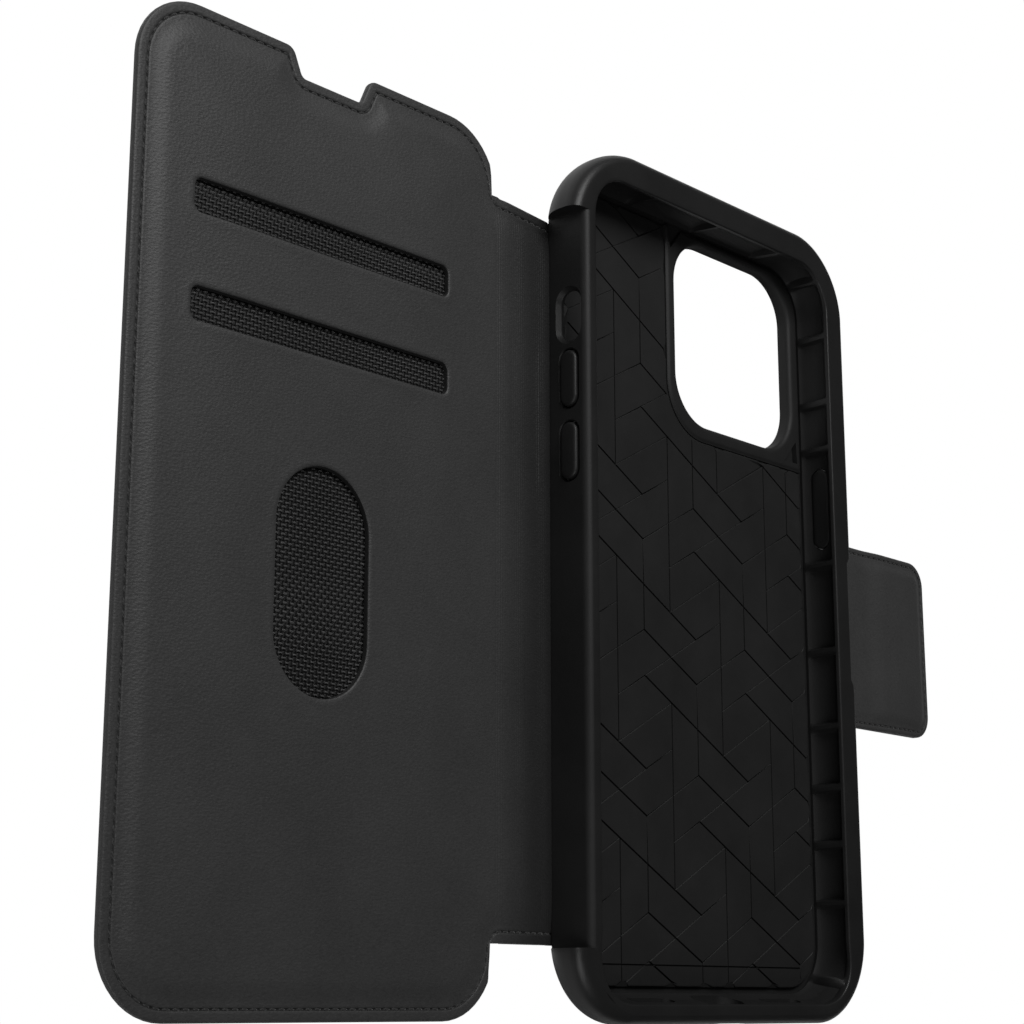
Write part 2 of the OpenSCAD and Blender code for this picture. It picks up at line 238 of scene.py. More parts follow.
def plan(loop, holes=(), points=None, lines=()):
    """Triangles that fill a closed loop but for its holes, through the given points and lines."""
    verts, edges = [], []
    for ring in [loop, *holes]:
        base = len(verts)
        verts += [tuple(p) for p in ring]
        edges += [(base + k, base + (k + 1) % len(ring)) for k in range(len(ring))]
    for a, b in lines:
        edges.append((len(verts), len(verts) + 1))
        verts += [tuple(a), tuple(b)]
    if points is not None:
        verts += [tuple(p) for p in points]
    found = delaunay_2d_cdt([Vector(v) for v in verts], edges, [], 1, 1e-4)
    flat = np.array([tuple(v) for v in found[0]])
    triangles = np.array([f for f in found[2] if len(f) == 3])
    middle = flat[triangles].mean(1)
    keep = inside(middle, loop)
    for hole in holes:
        keep &= ~inside(middle, hole)
    triangles = triangles[keep]
    a, b, c = (flat[triangles[:, k]] for k in range(3))
    turn = (b[:, 0] - a[:, 0]) * (c[:, 1] - a[:, 1]) - (b[:, 1] - a[:, 1]) * (c[:, 0] - a[:, 0])
    triangles = triangles[np.abs(turn) > 1e-7]
    turn = turn[np.abs(turn) > 1e-7]
    triangles[turn < 0] = triangles[turn < 0][:, ::-1]
    used, index = np.unique(triangles, return_inverse=True)
    return flat[used], index.reshape(-1, 3)


def slab(name, flat, triangles, top, bottom, materials, crease_deg=38):
    """A closed solid between two height fields over one plan."""
    n = len(flat)
    edges = {}
    for t in triangles.tolist():
        for a, b in ((t[0], t[1]), (t[1], t[2]), (t[2], t[0])):
            edges[(a, b)] = True
    walls = [(b, a, a + n, b + n) for (a, b) in edges if (b, a) not in edges]
    verts = np.vstack([np.column_stack([flat, np.broadcast_to(top, n)]),
                       np.column_stack([flat, np.broadcast_to(bottom, n)])])
    faces = triangles.tolist() + (triangles[:, ::-1] + n).tolist() + walls
    return new_piece(name, verts, faces, materials, crease_deg)


def grid_points(low, high, step):
    """Points on a square grid from one corner to another."""
    return np.array([(x, y) for x in np.arange(low[0], high[0], step)
                     for y in np.arange(low[1], high[1], step)])


def paint_faces(piece, wanted):
    """Gives a piece's second material to the wanted faces."""
    for k in np.where(wanted)[0]:
        piece.data.polygons[int(k)].material_index = 1


def face_outward(piece):
    """Turns every face of a closed mesh outward."""
    work = bmesh.new()
    work.from_mesh(piece.data)
    bmesh.ops.recalc_face_normals(work, faces=work.faces)
    work.to_mesh(piece.data)
    work.free()


def cut(piece, cutters):
    """Takes the cutters' shape out of a piece."""
    for solid in [piece, *cutters]:
        face_outward(solid)
    bpy.ops.object.select_all(action="DESELECT")
    for cutter in cutters:
        cutter.select_set(True)
    bpy.context.view_layer.objects.active = cutters[0]
    if len(cutters) > 1:
        bpy.ops.object.join()
    cutter = bpy.context.view_layer.objects.active
    change = piece.modifiers.new("cut", "BOOLEAN")
    change.operation = "DIFFERENCE"
    change.solver = "EXACT"
    change.object = cutter
    graph = bpy.context.evaluated_depsgraph_get()
    mesh = bpy.data.meshes.new_from_object(piece.evaluated_get(graph))
    piece.modifiers.clear()
    piece.data = mesh
    bpy.data.objects.remove(cutter)
    return piece


def loft(name, rings, materials, crease_deg=38):
    """A closed solid through rings of as many points each, capped at both ends."""
    rings = [np.asarray(r, float) for r in rings]
    n = len(rings[0])
    faces = [tuple(range(n))[::-1], tuple(range((len(rings) - 1) * n, len(rings) * n))]
    for k in range(len(rings) - 1):
        for i in range(n):
            j = (i + 1) % n
            faces.append((k * n + i, k * n + j, (k + 1) * n + j, (k + 1) * n + i))
    return new_piece(name, np.vstack(rings), faces, materials, crease_deg)


def pill_ring(length, height, segments=16):
    """Points round a round-ended slot that lies along its first axis, anticlockwise."""
    r = height / 2
    ring = []
    for side, start in ((1, -90), (-1, 90)):
        for k in range(segments + 1):
            a = math.radians(start + 180 * k / segments)
            ring.append((side * (length / 2 - r) + r * math.cos(a), r * math.sin(a)))
    return np.array(ring)


def side_pill(name, x_and_grow, y, z, length, height, materials=()):
    """A round-ended solid that runs along X, with its outline grown at each station."""
    rings = []
    for x, grow in x_and_grow:
        ring = pill_ring(length + 2 * grow, height + 2 * grow)
        rings.append(np.column_stack([np.full(len(ring), x), y + ring[:, 0], z + ring[:, 1]]))
    return loft(name, rings, materials)


def end_pill(name, y_from, y_to, x, z, length, height):
    """A round-ended solid that runs along Y."""
    ring = pill_ring(length, height)
    return loft(name, [np.column_stack([x - ring[:, 0], np.full(len(ring), y), z + ring[:, 1]])
                       for y in (y_from, y_to)], ())


# ---------------------------------------------------------------- materials
def material(name, color, roughness, specular=0.5, sheen=0.0, metallic=0.0):
    """A Principled material, its node tree and its shader."""
    made = bpy.data.materials.new(name)
    made.use_nodes = True
    shader = made.node_tree.nodes["Principled BSDF"]
    shader.inputs["Base Color"].default_value = (*color, 1)
    shader.inputs["Roughness"].default_value = roughness
    shader.inputs["Specular IOR Level"].default_value = specular
    shader.inputs["Sheen Weight"].default_value = sheen
    shader.inputs["Metallic"].default_value = metallic
    return made, made.node_tree, shader


def add(tree, kind, inputs=(), **settings):
    """A node with its properties set by name, and its inputs set to values or fed by sockets."""
    node = tree.nodes.new(kind)
    for key, value in settings.items():
        setattr(node, key, value)
    for key, value in dict(inputs).items():
        if isinstance(value, bpy.types.NodeSocket):
            tree.links.new(value, node.inputs[key])
        else:
            node.inputs[key].default_value = value
    return node


def place(tree, scale=(1, 1, 1)):
    """The point on the object, in metres, stretched."""
    at = add(tree, "ShaderNodeTexCoord").outputs["Object"]
    return add(tree, "ShaderNodeMapping", {"Scale": scale, "Vector": at}).outputs["Vector"]


def noise(tree, vector, scale, detail=4.0, rough=0.6):
    """Fractal noise, about 0 to 1."""
    settings = {"Scale": scale, "Detail": detail, "Roughness": rough, "Vector": vector}
    return add(tree, "ShaderNodeTexNoise", settings).outputs["Fac"]


def pebbles(tree, vector, scale):
    """Distance from the middle of each of many small cells."""
    return add(tree, "ShaderNodeTexVoronoi", {"Scale": scale, "Vector": vector}).outputs["Distance"]


def ramp(tree, value, ends, low, high):
    """A colour between low and high, as the value runs between the ends; a plain number is a grey."""
    node = add(tree, "ShaderNodeValToRGB", {"Fac": value})
    for element, position, color in zip(node.color_ramp.elements, ends, (low, high)):
        element.position = position
        element.color = (*(color if isinstance(color, tuple) else (color,) * 3), 1)
    return node.outputs["Color"]


def paint(tree, shader, value, ends, low, high):
    """Base colour from a ramp."""
    tree.links.new(ramp(tree, value, ends, low, high), shader.inputs["Base Color"])


def vary_roughness(tree, shader, value, low, high):
    """Roughness that follows a value."""
    node = add(tree, "ShaderNodeMapRange", {"To Min": low, "To Max": high, "Value": value})
    tree.links.new(node.outputs["Result"], shader.inputs["Roughness"])


def bump(tree, shader, heights):
    """Bumps from (height, depth in metres) pairs, one over the other."""
    last = None
    for height, depth in heights:
        inputs = {"Strength": 1, "Distance": depth, "Height": height}
        if last is not None:
            inputs["Normal"] = last
        last = add(tree, "ShaderNodeBump", inputs).outputs["Normal"]
    tree.links.new(last, shader.inputs["Normal"])


def leather_material(name, shade, roughness=0.52, painted_spine_shadow=False):
    """Fine-grained synthetic leather: pebbles, shallow creases and uneven colour, optionally with a painted
    shadow over the spine.
    """
    made, tree, shader = material(name, (shade, shade, shade), roughness, 0.35, 0.06)
    shader.inputs["Sheen Roughness"].default_value = 0.45
    drawn = place(tree, (0.6, 1, 1))
    pebble = pebbles(tree, drawn, 2600)
    crease = noise(tree, drawn, 2300, 4, 0.65)
    cloud = noise(tree, place(tree), 45, 4, 0.7)
    blend = add(tree, "ShaderNodeMix", {0: 0.7, 2: cloud, 3: crease}, data_type="FLOAT")
    color = ramp(tree, blend.outputs[0], (0.32, 0.68), shade * 0.78, shade * 1.2)
    if painted_spine_shadow:
        color = add_painted_spine_shadow(tree, color)
    tree.links.new(color, shader.inputs["Base Color"])
    vary_roughness(tree, shader, cloud, roughness - 0.07, roughness + 0.09)
    bump(tree, shader, [(pebble, 0.00004), (crease, 0.00005)])
    return made


def add_painted_spine_shadow(tree, color):
    """Painted shadow: leather that gets darker from the cover's edge over the spine to the tray, as the
    tray's wall shades the spine.
    """
    where = add(tree, "ShaderNodeTexCoord").outputs["Object"]
    x = add(tree, "ShaderNodeSeparateXYZ", {0: where}).outputs["X"]
    span = {"Value": x, "From Min": (COVER_FOLD - 4) * MM, "From Max": SPINE_FOLD * MM, "To Min": 1,
            "To Max": 0.28}
    # Painted shadow: the colour falls to 0.28 of itself at the tray's fold.
    shadow_fall = add(tree, "ShaderNodeMapRange", span, interpolation_type="SMOOTHSTEP").outputs["Result"]
    shadow_tint = add(tree, "ShaderNodeMix", {0: 1, 6: color, 7: shadow_fall}, data_type="RGBA", blend_type="MULTIPLY")
    return shadow_tint.outputs[2]


def plastic_material(name, shade, roughness, specular=0.4, grain=0.00002):
    """Moulded black plastic with a fine spark-eroded texture and faint handling marks."""
    made, tree, shader = material(name, (shade,) * 3, roughness, specular)
    at = place(tree)
    cloud = noise(tree, at, 60, 5, 0.65)
    paint(tree, shader, cloud, (0.3, 0.7), shade * 0.85, shade * 1.15)
    vary_roughness(tree, shader, cloud, roughness - 0.05, roughness + 0.07)
    bump(tree, shader, [(noise(tree, at, 2600, 2, 0.5), grain)])
    return made


def thread_material(name, shade):
    """Twisted polyester thread."""
    made, tree, shader = material(name, (shade,) * 3, 0.6, 0.3, 0.2)
    twist = add(tree, "ShaderNodeTexWave", {"Scale": 900, "Vector": place(tree)}, wave_type="BANDS",
                bands_direction="DIAGONAL").outputs["Fac"]
    paint(tree, shader, twist, (0.2, 0.8), shade * 0.6, shade * 1.3)
    bump(tree, shader, [(twist, 0.00004)])
    return made


def yarn_material(name, low, high, sheen):
    """Woven pocket fabric with a fibre texture along the yarns; a pale copy is a painted highlight on the
    weft's crowns, a near-black copy the fabric's black with painted shade.
    """
    made, tree, shader = material(name, (high,) * 3, 0.55, 0.2, sheen)
    fibre = noise(tree, place(tree, (1, 3, 1)), 2400, 3, 0.6)
    paint(tree, shader, fibre, (0.25, 0.7), low, high)
    vary_roughness(tree, shader, fibre, 0.45, 0.65)
    bump(tree, shader, [(fibre, 0.00003)])
    return made


def foam_material(name, shade):
    """Closed-cell foam with small bubbles at its skin."""
    made, tree, shader = material(name, (shade,) * 3, 0.85, 0.2)
    cells = pebbles(tree, place(tree), 2200)
    paint(tree, shader, cells, (0.1, 0.7), shade * 0.5, shade * 1.2)
    bump(tree, shader, [(cells, 0.0001)])
    return made


def board_material(name):
    """Grey-brown fibre board with pressed fibres."""
    made, tree, shader = material(name, (0.2, 0.16, 0.12), 0.8, 0.2)
    fibre = noise(tree, place(tree, (1, 6, 1)), 700, 6, 0.7)
    paint(tree, shader, fibre, (0.3, 0.7), (0.13, 0.1, 0.075), (0.27, 0.22, 0.17))
    bump(tree, shader, [(fibre, 0.00005)])
    return made


def steel_material(name):
    """Nickel-plated steel, brushed along one way."""
    made, tree, shader = material(name, (0.55, 0.54, 0.52), 0.3, 0.5, 0, 1)
    brushed = noise(tree, place(tree, (0.04, 1, 1)), 3000, 3, 0.6)
    paint(tree, shader, brushed, (0.3, 0.7), (0.45, 0.44, 0.42), (0.65, 0.64, 0.62))
    vary_roughness(tree, shader, brushed, 0.22, 0.42)
    return made


# The inner leather carries the painted shadow over the spine, darker toward the tray.
INNER_LEATHER = leather_material("inner_leather", 0.029, 0.5, True)
TAB_LEATHER = leather_material("tab_leather", 0.033)
OUTER_LEATHER = leather_material("outer_leather", 0.026, 0.48)
# Near-black leather: painted shade in the stitch grooves, and edge paint with painted shade on the windows'
# cut edges.
SHADE_LEATHER = leather_material("shade_leather", 0.004, 0.7)
CAP_PLASTIC = plastic_material("cap_plastic", 0.0115, 0.4, 0.28)
WALL_PLASTIC = plastic_material("wall_plastic", 0.013, 0.5, 0.22)
LINER_PLASTIC = plastic_material("liner_plastic", 0.0125, 0.55, 0.2)
# Near-black plastic: painted shade on the walls of the liner's engraved lines.
SHADE_PLASTIC = plastic_material("shade_plastic", 0.003, 0.7, 0.1)
BUTTON_PLASTIC = plastic_material("button_plastic", 0.009, 0.5, 0.35)
THREAD = thread_material("thread", 0.011)
# Lit and shaded copies of one yarn: a painted highlight on the weft's crowns, and the fabric's black with
# painted shade elsewhere.
LIT_CROWN_YARN = yarn_material("pocket_yarn_lit_crowns", 0.02, 0.06, 0.15)
SHADED_BLACK_YARN = yarn_material("pocket_yarn_black_shaded", 0.001, 0.003, 0)
FOAM = foam_material("foam", 0.08)
BOARD = board_material("board")
STEEL = steel_material("steel")


# ---------------------------------------------------------------- phone tray
WALL_ROUND = 2.0
CAP_ROUND = 3.2
BELLY_RADIUS = 7.0
BELLY_Z = 7.5
TRAY_BASE_Z = TRAY_LOW[2]
OUTER_CORNERS = (16.9, 20, 15, 16.9)
RIB_PLACES = (-62, -49.5, -37.3, -24, -7.3, 12.2, 38.6, 49.5, 65)
END_RIBS = (-20, 2, 24)
CORNER_RIBS = (44, 316)
LOW_END_FLARE = 3.1
RIB_HALF = 0.75
POCKET_DEPTH = 0.95
LIP = 1.0

# Side controls and plug openings
MUTE_Y, MUTE_LENGTH, MUTE_HEIGHT = 49.6, 10.4, 5.2
VOLUME_PLACES = (36.5, 21.8)
VOLUME_LENGTH = 11.4
BUTTON_HEIGHT = 4.0
POWER_Y = 25.3
POWER_LENGTH = 18
POWER_BED_HEIGHT = 6.4
PORT_LENGTH, PORT_HEIGHT = 13.5, 6.6
SPEAKER_X, SPEAKER_LENGTH, SPEAKER_HEIGHT = 21, 13, 2.8


def turned(degrees):
    """Unit vector at an angle from +X."""
    return np.array([math.cos(math.radians(degrees)), math.sin(math.radians(degrees))])


def arc(center, radius, angles):
    """Points of an arc, at angles in degrees."""
    return [(center[0] + radius * math.cos(math.radians(a)), center[1] + radius * math.sin(math.radians(a)))
            for a in angles]


def tray_stations():
    """Inner and outer points round the tray, anticlockwise, with their rib, cap and flare shares."""
    rows = []
    signs = ((1, 1), (-1, 1), (-1, -1), (1, -1))
    for k, (sx, sy) in enumerate(signs):
        inner_c = np.array([sx, sy]) * (POCKET_HALF - POCKET_CORNER)
        outer_c = np.array([sx, sy]) * (OUTER_HALF - OUTER_CORNERS[k])
        cap = 1.0 if sx < 0 else 0.35
        for a in np.linspace(90 * k, 90 * (k + 1), 37):
            way = turned(a)
            share = cap * math.sin(math.radians(2 * (a - 90 * k)))
            near = min(abs(a - rib_at) for rib_at in CORNER_RIBS)
            rib = float(1 - smooth_step((near - 2.5) / 2.5))
            flare = float(smooth_step(-way[1] * 1.05))
            rows.append((inner_c + way * POCKET_CORNER, outer_c + way * OUTER_CORNERS[k], rib, share, flare))
        following = (k + 1) % 4
        corner, sign = OUTER_CORNERS[following], np.array(signs[following])
        way = np.round(turned(90 * (k + 1)))
        start_in, start_out = rows[-1][:2]
        next_in = sign * (POCKET_HALF - POCKET_CORNER) + way * POCKET_CORNER
        next_out = sign * (OUTER_HALF - corner) + way * corner
        along = 1 if abs(way[0]) > 0.5 else 0
        places = RIB_PLACES if along == 1 else (END_RIBS if way[1] > 0 else ())
        count = int(np.linalg.norm(next_in - start_in) / 0.42)
        for t in np.arange(1, count) / count:
            point = start_in + (next_in - start_in) * t
            near = min([abs(point[along] - p) for p in places] or [9])
            rib = float(1 - smooth_step((near - RIB_HALF + 0.2) / 0.5))
            rows.append((point, start_out + (next_out - start_out) * t, rib, 0.0, float(way[1] < -0.5)))
    return rows


def wall_profile(rib, cap, flare):
    """Section of the wall, up the inside and down the outside: distance outward and height."""
    points = [(0.35, TRAY_BASE_Z + 0.5), (0.05, TRAY_BASE_Z + 1.2)]
    lip_low = RIM_Z - 0.9
    for z in np.linspace(FLOOR_Z - 0.1, lip_low, 16):
        up = (z - FLOOR_Z) / (lip_low - FLOOR_Z)
        hollow = POCKET_DEPTH * math.sin(math.pi * min(max(up / 0.9, 0), 1)) ** 0.7
        if up > 0.88:
            hollow = -LIP * (up - 0.88) / 0.12
        ridge = -0.15 - (LIP - 0.15) * min(max(up, 0), 1)
        opened = LOW_END_FLARE * flare * max(up, 0) ** 3
        points.append((hollow + (ridge - hollow) * rib + opened, z))
    inner_round = 0.4
    lip_edge = -LIP + LOW_END_FLARE * flare + inner_round
    points += arc((lip_edge, RIM_Z - inner_round), inner_round, np.linspace(180, 90, 5))
    rr = WALL_ROUND + (CAP_ROUND - WALL_ROUND) * cap
    for w in np.linspace(0.2 + LOW_END_FLARE * flare, WALL_BULGE - rr + 0.3 * flare, 4):
        points.append((w, RIM_Z))
    points += arc((WALL_BULGE - rr, RIM_Z - rr), rr, np.linspace(90, 0, 10)[1:])
    turn = math.degrees(math.asin((BELLY_Z - TRAY_BASE_Z) / BELLY_RADIUS))
    belly = np.linspace(-2, -turn, 13) if rr > 3 else np.linspace(0, -turn, 14)[1:]
    points += arc((WALL_BULGE - BELLY_RADIUS, BELLY_Z), BELLY_RADIUS, belly)
    return np.array(points)


def tray_ring():
    """The bumper wall, closed round the pocket."""
    rows = tray_stations()
    verts = []
    for inner, outer, rib, cap, flare in rows:
        section = wall_profile(rib, cap, flare)
        share = section[:, :1] / WALL_BULGE
        verts.append(np.column_stack([inner + (outer - inner) * share, section[:, 1]]))
    m, n = len(rows), len(section)
    faces = []
    for i in range(m):
        a, b = i * n, ((i + 1) % m) * n
        faces += [(a + j, a + (j + 1) % n, b + (j + 1) % n, b + j) for j in range(n)]
    return new_piece("tray_shell", np.vstack(verts), faces, [CAP_PLASTIC, WALL_PLASTIC])


def recess_cutter():
    """What the closed spine's recess takes out of the left wall, with a round top edge."""
    r, reach = 1.5, 12
    low, high = -2.0, RIM_Z + 2
    profile = [(RECESS_X, low)] + arc((RECESS_X + r, RIM_Z - r), r, np.linspace(180, 90, 9))
    profile += [(RECESS_X + r, high), (RECESS_X - reach, high), (RECESS_X - reach, low)]
    return loft("recess", [[(x, y, z) for x, z in profile] for y in RECESS_ENDS], ())


def relief_cutter():
    """The notch in the right rim that the strap lies in when the case is closed."""
    middle, half, depth, slope, low = -0.6, 13.1, 2.5, 3.4, 7.0
    edge = OUTER_HALF[0]
    flat = [(edge - depth, middle - half), (edge + 1, middle - half - slope - 1.4),
            (edge + 1, middle + half + slope + 1.4), (edge - depth, middle + half)]
    return loft("relief", [[(x, y, z) for x, y in flat] for z in (low, RIM_Z + 3)], ())


def control_cutters():
    """Openings for the side switch, the buttons and the plugs."""
    face, inner = RECESS_X, -POCKET_HALF[0] + 3
    mute = [(face - 2, 1.4), (face - 0.01, 0.75), (face + 0.9, 0), (inner, 0)]
    groove = [(face - 2, 0.45), (face - 0.01, 0.45), (face + 0.3, 0.2), (inner, 0.2)]
    made = [side_pill("mute", mute, MUTE_Y, CONTROL_Z, MUTE_LENGTH, MUTE_HEIGHT)]
    for y in VOLUME_PLACES:
        made.append(side_pill("groove", groove, y, CONTROL_Z, VOLUME_LENGTH + 0.4, BUTTON_HEIGHT + 0.4))
    bed = POCKET_HALF[0] + 1.2
    made.append(side_pill("bed", [(POCKET_HALF[0] - 3, 0.6), (POCKET_HALF[0] + 0.4, 0.3), (bed, 0)],
                          POWER_Y, CONTROL_Z, POWER_LENGTH + 5, POWER_BED_HEIGHT))
    made.append(side_pill("power", [(bed - 2.5, 0.2), (OUTER_HALF[0] + 2, 0.2)], POWER_Y, CONTROL_Z,
                          POWER_LENGTH + 0.3, BUTTON_HEIGHT + 0.3))
    low_y, far_y = -POCKET_HALF[1] + 2, -OUTER_HALF[1] - 2
    made.append(end_pill("port", low_y, far_y, 0, CONTROL_Z, PORT_LENGTH, PORT_HEIGHT))
    for side in (-1, 1):
        made.append(end_pill("speaker", low_y, far_y, side * SPEAKER_X, CONTROL_Z, SPEAKER_LENGTH,
                             SPEAKER_HEIGHT))
    return made


def rounded_loop(half, r, segments=12):
    """A rounded rectangle's loop about the origin."""
    loop = []
    for k, (sx, sy) in enumerate(((1, 1), (-1, 1), (-1, -1), (1, -1))):
        for a in np.linspace(90 * k, 90 * (k + 1), segments + 1):
            loop.append((sx * (half[0] - r) + r * math.cos(math.radians(a)),
                         sy * (half[1] - r) + r * math.sin(math.radians(a))))
    return np.array(loop)


def grown(hole, margin):
    """A clockwise hole's loop, moved outward."""
    return hole + normals_of(hole, True) * margin


def window_loop():
    """The camera window's outline, clockwise as a hole."""
    return min(outlines("camera_bezel"), key=lambda l: -abs(area_of(l)) if area_of(l) < 0 else 0)


def build_tray():
    """Bumper wall with its recess, relief and openings, and the floor plate inside it."""
    ring = tray_ring()
    cut(ring, [recess_cutter(), relief_cutter()])
    cut(ring, control_cutters())
    mesh = ring.data
    mesh.polygons.foreach_set("use_smooth", [True] * len(mesh.polygons))
    mesh.polygons.foreach_set("material_index", [0] * len(mesh.polygons))
    middle = np.array([f.center for f in mesh.polygons]) / MM
    x, y, z = middle.T
    recess = (y > RECESS_ENDS[0] - 0.05) & (y < RECESS_ENDS[1] + 0.05) & (x < RECESS_X + 1.45)
    pocket = inside(middle[:, :2], rounded_loop(POCKET_HALF + 1.2, POCKET_CORNER + 1.2))
    paint_faces(ring, recess | (pocket & (z < RIM_Z - 0.5)))
    mesh.set_sharp_from_angle(angle=math.radians(32))
    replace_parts(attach(ring, "tray"), "tray_frame")
    hole = grown(window_loop(), 0.42)
    flat, triangles = plan(rounded_loop(POCKET_HALF + 0.3, POCKET_CORNER + 0.3), [hole])
    plate = slab("tray_floor_plate", flat, triangles, FLOOR_LOW[2] - 0.01, TRAY_BASE_Z, [WALL_PLASTIC])
    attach(plate, "tray")
    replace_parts(plate, "tray_frame")


# ---------------------------------------------------------------- liner with its line pattern
LINE_COLUMN = 8.5
LINE_RISE = 4.68
PATTERN_START = (-16.4, 9.3)
GROOVES = {"falling": (0.19, 0.42), "upright": (0.16, 0.28), "rising": (0.14, 0.14)}


def pattern_lines():
    """Strokes of a slanted lattice: (kind, start, end), in columns and rises from each lattice point."""
    strokes = (("falling", (-2, 2), (0, 0)), ("upright", (0, 0), (0, -4)), ("rising", (0, 0), (2, 2)),
               ("falling", (2, 0), (6, -4)), ("upright", (3, -1), (3, -9)), ("rising", (3, -9), (5, -7)),
               ("rising", (1, -1), (5, 3)))
    lines = []
    for across in range(-3, 4):
        for down in range(-4, 5):
            column, rise = 4 * across + 2 * down, -6 * down
            for kind, start, end in strokes:
                ends = [np.array([PATTERN_START[0] + (column + p[0]) * LINE_COLUMN,
                                  PATTERN_START[1] + (rise + p[1]) * LINE_RISE]) for p in (start, end)]
                lines.append((kind, *ends))
    return lines


def liner_border():
    """The stroke across the liner's low end."""
    low = FLOOR_LOW[1] + 4.1
    return [("upright", np.array((FLOOR_LOW[0] + 4.3, low)), np.array((FLOOR_HIGH[0] - 6, low)))]


def clip_line(a, b, loop, margin):
    """The longest stretch of a line that stays a margin inside a loop, or None."""
    a, b = np.array(a), np.array(b)
    t = np.linspace(0, 1, 160)
    points = a + (b - a) * t[:, None]
    good = inside(points, loop) & (distance_to(points, closed(loop)) > margin)
    best, start = None, None
    for k in range(len(t) + 1):
        if k < len(t) and good[k]:
            start = k if start is None else start
        elif start is not None:
            if best is None or k - 1 - start > best[1] - best[0]:
                best = (start, k - 1)
            start = None
    if best is None or np.linalg.norm(points[best[1]] - points[best[0]]) < 1.5:
        return None
    return points[best[0]], points[best[1]]


def build_floor():
    """Liner plate with its engraved lines."""
    loop = resample_ring(outlines("floor_panel")[0], 4)
    strokes = [(kind, clip_line(a, b, loop, 0.9)) for kind, a, b in pattern_lines()]
    strokes = [(kind, *ends) for kind, ends in strokes if ends is not None]
    strokes += liner_border()
    lines = []
    for kind, a, b in strokes:
        along = (b - a) / np.linalg.norm(b - a)
        side = np.array([-along[1], along[0]]) * GROOVES[kind][0]
        for shift in (-side, side * 0, side):
            lines.append((a + shift, b + shift))
    rim = offsets(loop, EDGE_STEPS, True)
    flat, triangles = plan(loop, points=rim, lines=lines)
    depth = np.zeros(len(flat))
    for kind, a, b in strokes:
        half, deep = GROOVES[kind]
        near = distance_to(flat, np.array([a, b]))
        depth = np.maximum(depth, deep * (1 - np.clip(near / half, 0, 1)))
    edge = distance_to(flat, closed(loop))
    top = FLOOR_Z - depth - quarter_drop(edge, 0.3)
    panel = slab("tray_liner", flat, triangles, top, FLOOR_LOW[2], [LINER_PLASTIC, SHADE_PLASTIC], 20)
    # The groove walls get the near-black plastic as painted shade.
    steep = np.array([f.normal.z for f in panel.data.polygons])
    paint_faces(panel, (steep > 0.1) & (steep < 0.55))
    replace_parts(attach(panel, "tray"), "floor_panel")





def build_bezel():
    """Raised ring round the camera window, with a collar down through the floor and the leather."""
    edges = [closed(loop) for loop in outlines("camera_bezel")[:2]]
    outer, hole = (resample(edge, 1.2)[:-1] for edge in edges)
    window_steps = (0.1, 0.25, 0.38, 0.42, 0.6, 0.85, 1.15, 1.5)
    points = np.vstack([offsets(outer, (0.15, 0.35, 0.6, 0.9), True), offsets(hole, window_steps, True)])
    flat, triangles = plan(outer, [hole] + gusset_loops(), points)
    from_outer, from_hole = (distance_to(flat, edge) for edge in edges)
    top = BEZEL_HIGH[2] - quarter_drop(from_hole, 1.2) - 0.35 * (1 - smooth_step(from_outer / 0.8))
    bottom = np.where(from_hole < 0.4, 0.04, BEZEL_LOW[2])
    bezel = slab("camera_window_bezel", flat, triangles, top, bottom, [LINER_PLASTIC])
    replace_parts(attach(bezel, "tray"), "camera_bezel")


def gusset_loops():
    """The two small triangular pockets at the bezel's corners, clockwise as holes."""
    window = window_loop()
    center = (window.min(0) + window.max(0)) / 2
    corner = np.array([(34.2, 35.8), (38.6, 40.8), (39, 35.7)])
    return [corner, 2 * center - corner]


def build_buttons():
    """Push buttons with rounded pads."""
    rows = (("volume_up_pad", "volume_up", "volume_up_button", VOLUME_PLACES[0]),
            ("volume_down_pad", "volume_down", "volume_down_button", VOLUME_PLACES[1]))
    for name, body, node, y in rows:
        low, high = box_mm(node)
        inner, outer = high[0], low[0]
        stations = [(outer, -0.75), (outer + 0.05, -0.35), (outer + 0.2, -0.12), (outer + 0.45, 0),
                    (inner - 0.41, 0), (inner - 0.4, 0.7), (inner, 0.7)]
        pad = side_pill(name, stations, y, CONTROL_Z, VOLUME_LENGTH, BUTTON_HEIGHT, [BUTTON_PLASTIC])
        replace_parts(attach(pad, body), node)
    low, high = box_mm("power_button")
    inner, outer = low[0], high[0]
    stations = [(inner, -0.6), (inner + 0.05, -0.2), (inner + 0.15, 0), (inner + 0.4, 0.0),
                (outer - 0.45, 0), (outer - 0.2, -0.12), (outer - 0.05, -0.35), (outer, -0.75)]
    pad = side_pill("power_pad", stations, POWER_Y, CONTROL_Z, POWER_LENGTH, BUTTON_HEIGHT, [BUTTON_PLASTIC])
    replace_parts(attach(pad, "power"), "power_button")


# ---------------------------------------------------------------- cover and spine
def cover_path():
    """The stitched edge of cover and spine, from the tray's top end round the cover to its bottom end."""
    loop = outlines("cover_outer_skin")[0]
    at_fold = np.where(loop[:, 0] > loop[:, 0].max() - 0.01)[0]
    first = max(at_fold, key=lambda k: loop[k, 1])
    loop = np.roll(loop, -first, 0)
    start = (SPINE_END, loop[0, 1])
    end = (SPINE_END, loop[-1, 1])
    return np.vstack([[start], loop, [end]])


COVER_PATH = cover_path()
SPINE_TOP, SPINE_BOTTOM = COVER_PATH[0, 1], COVER_PATH[-1, 1]
LATTICE_X = -62.0


def spine_rows():
    """Places along Y of the spine's mesh rows, closer together at its stitched ends."""
    near = [s for s in BORDER_STEPS if s < 5]
    top = [SPINE_TOP - s for s in near]
    bottom = [SPINE_BOTTOM + s for s in near[::-1]]
    middle = np.linspace(top[-1], bottom[0], 46)[1:-1]
    return np.array([SPINE_TOP, *top, *middle, *bottom, SPINE_BOTTOM])


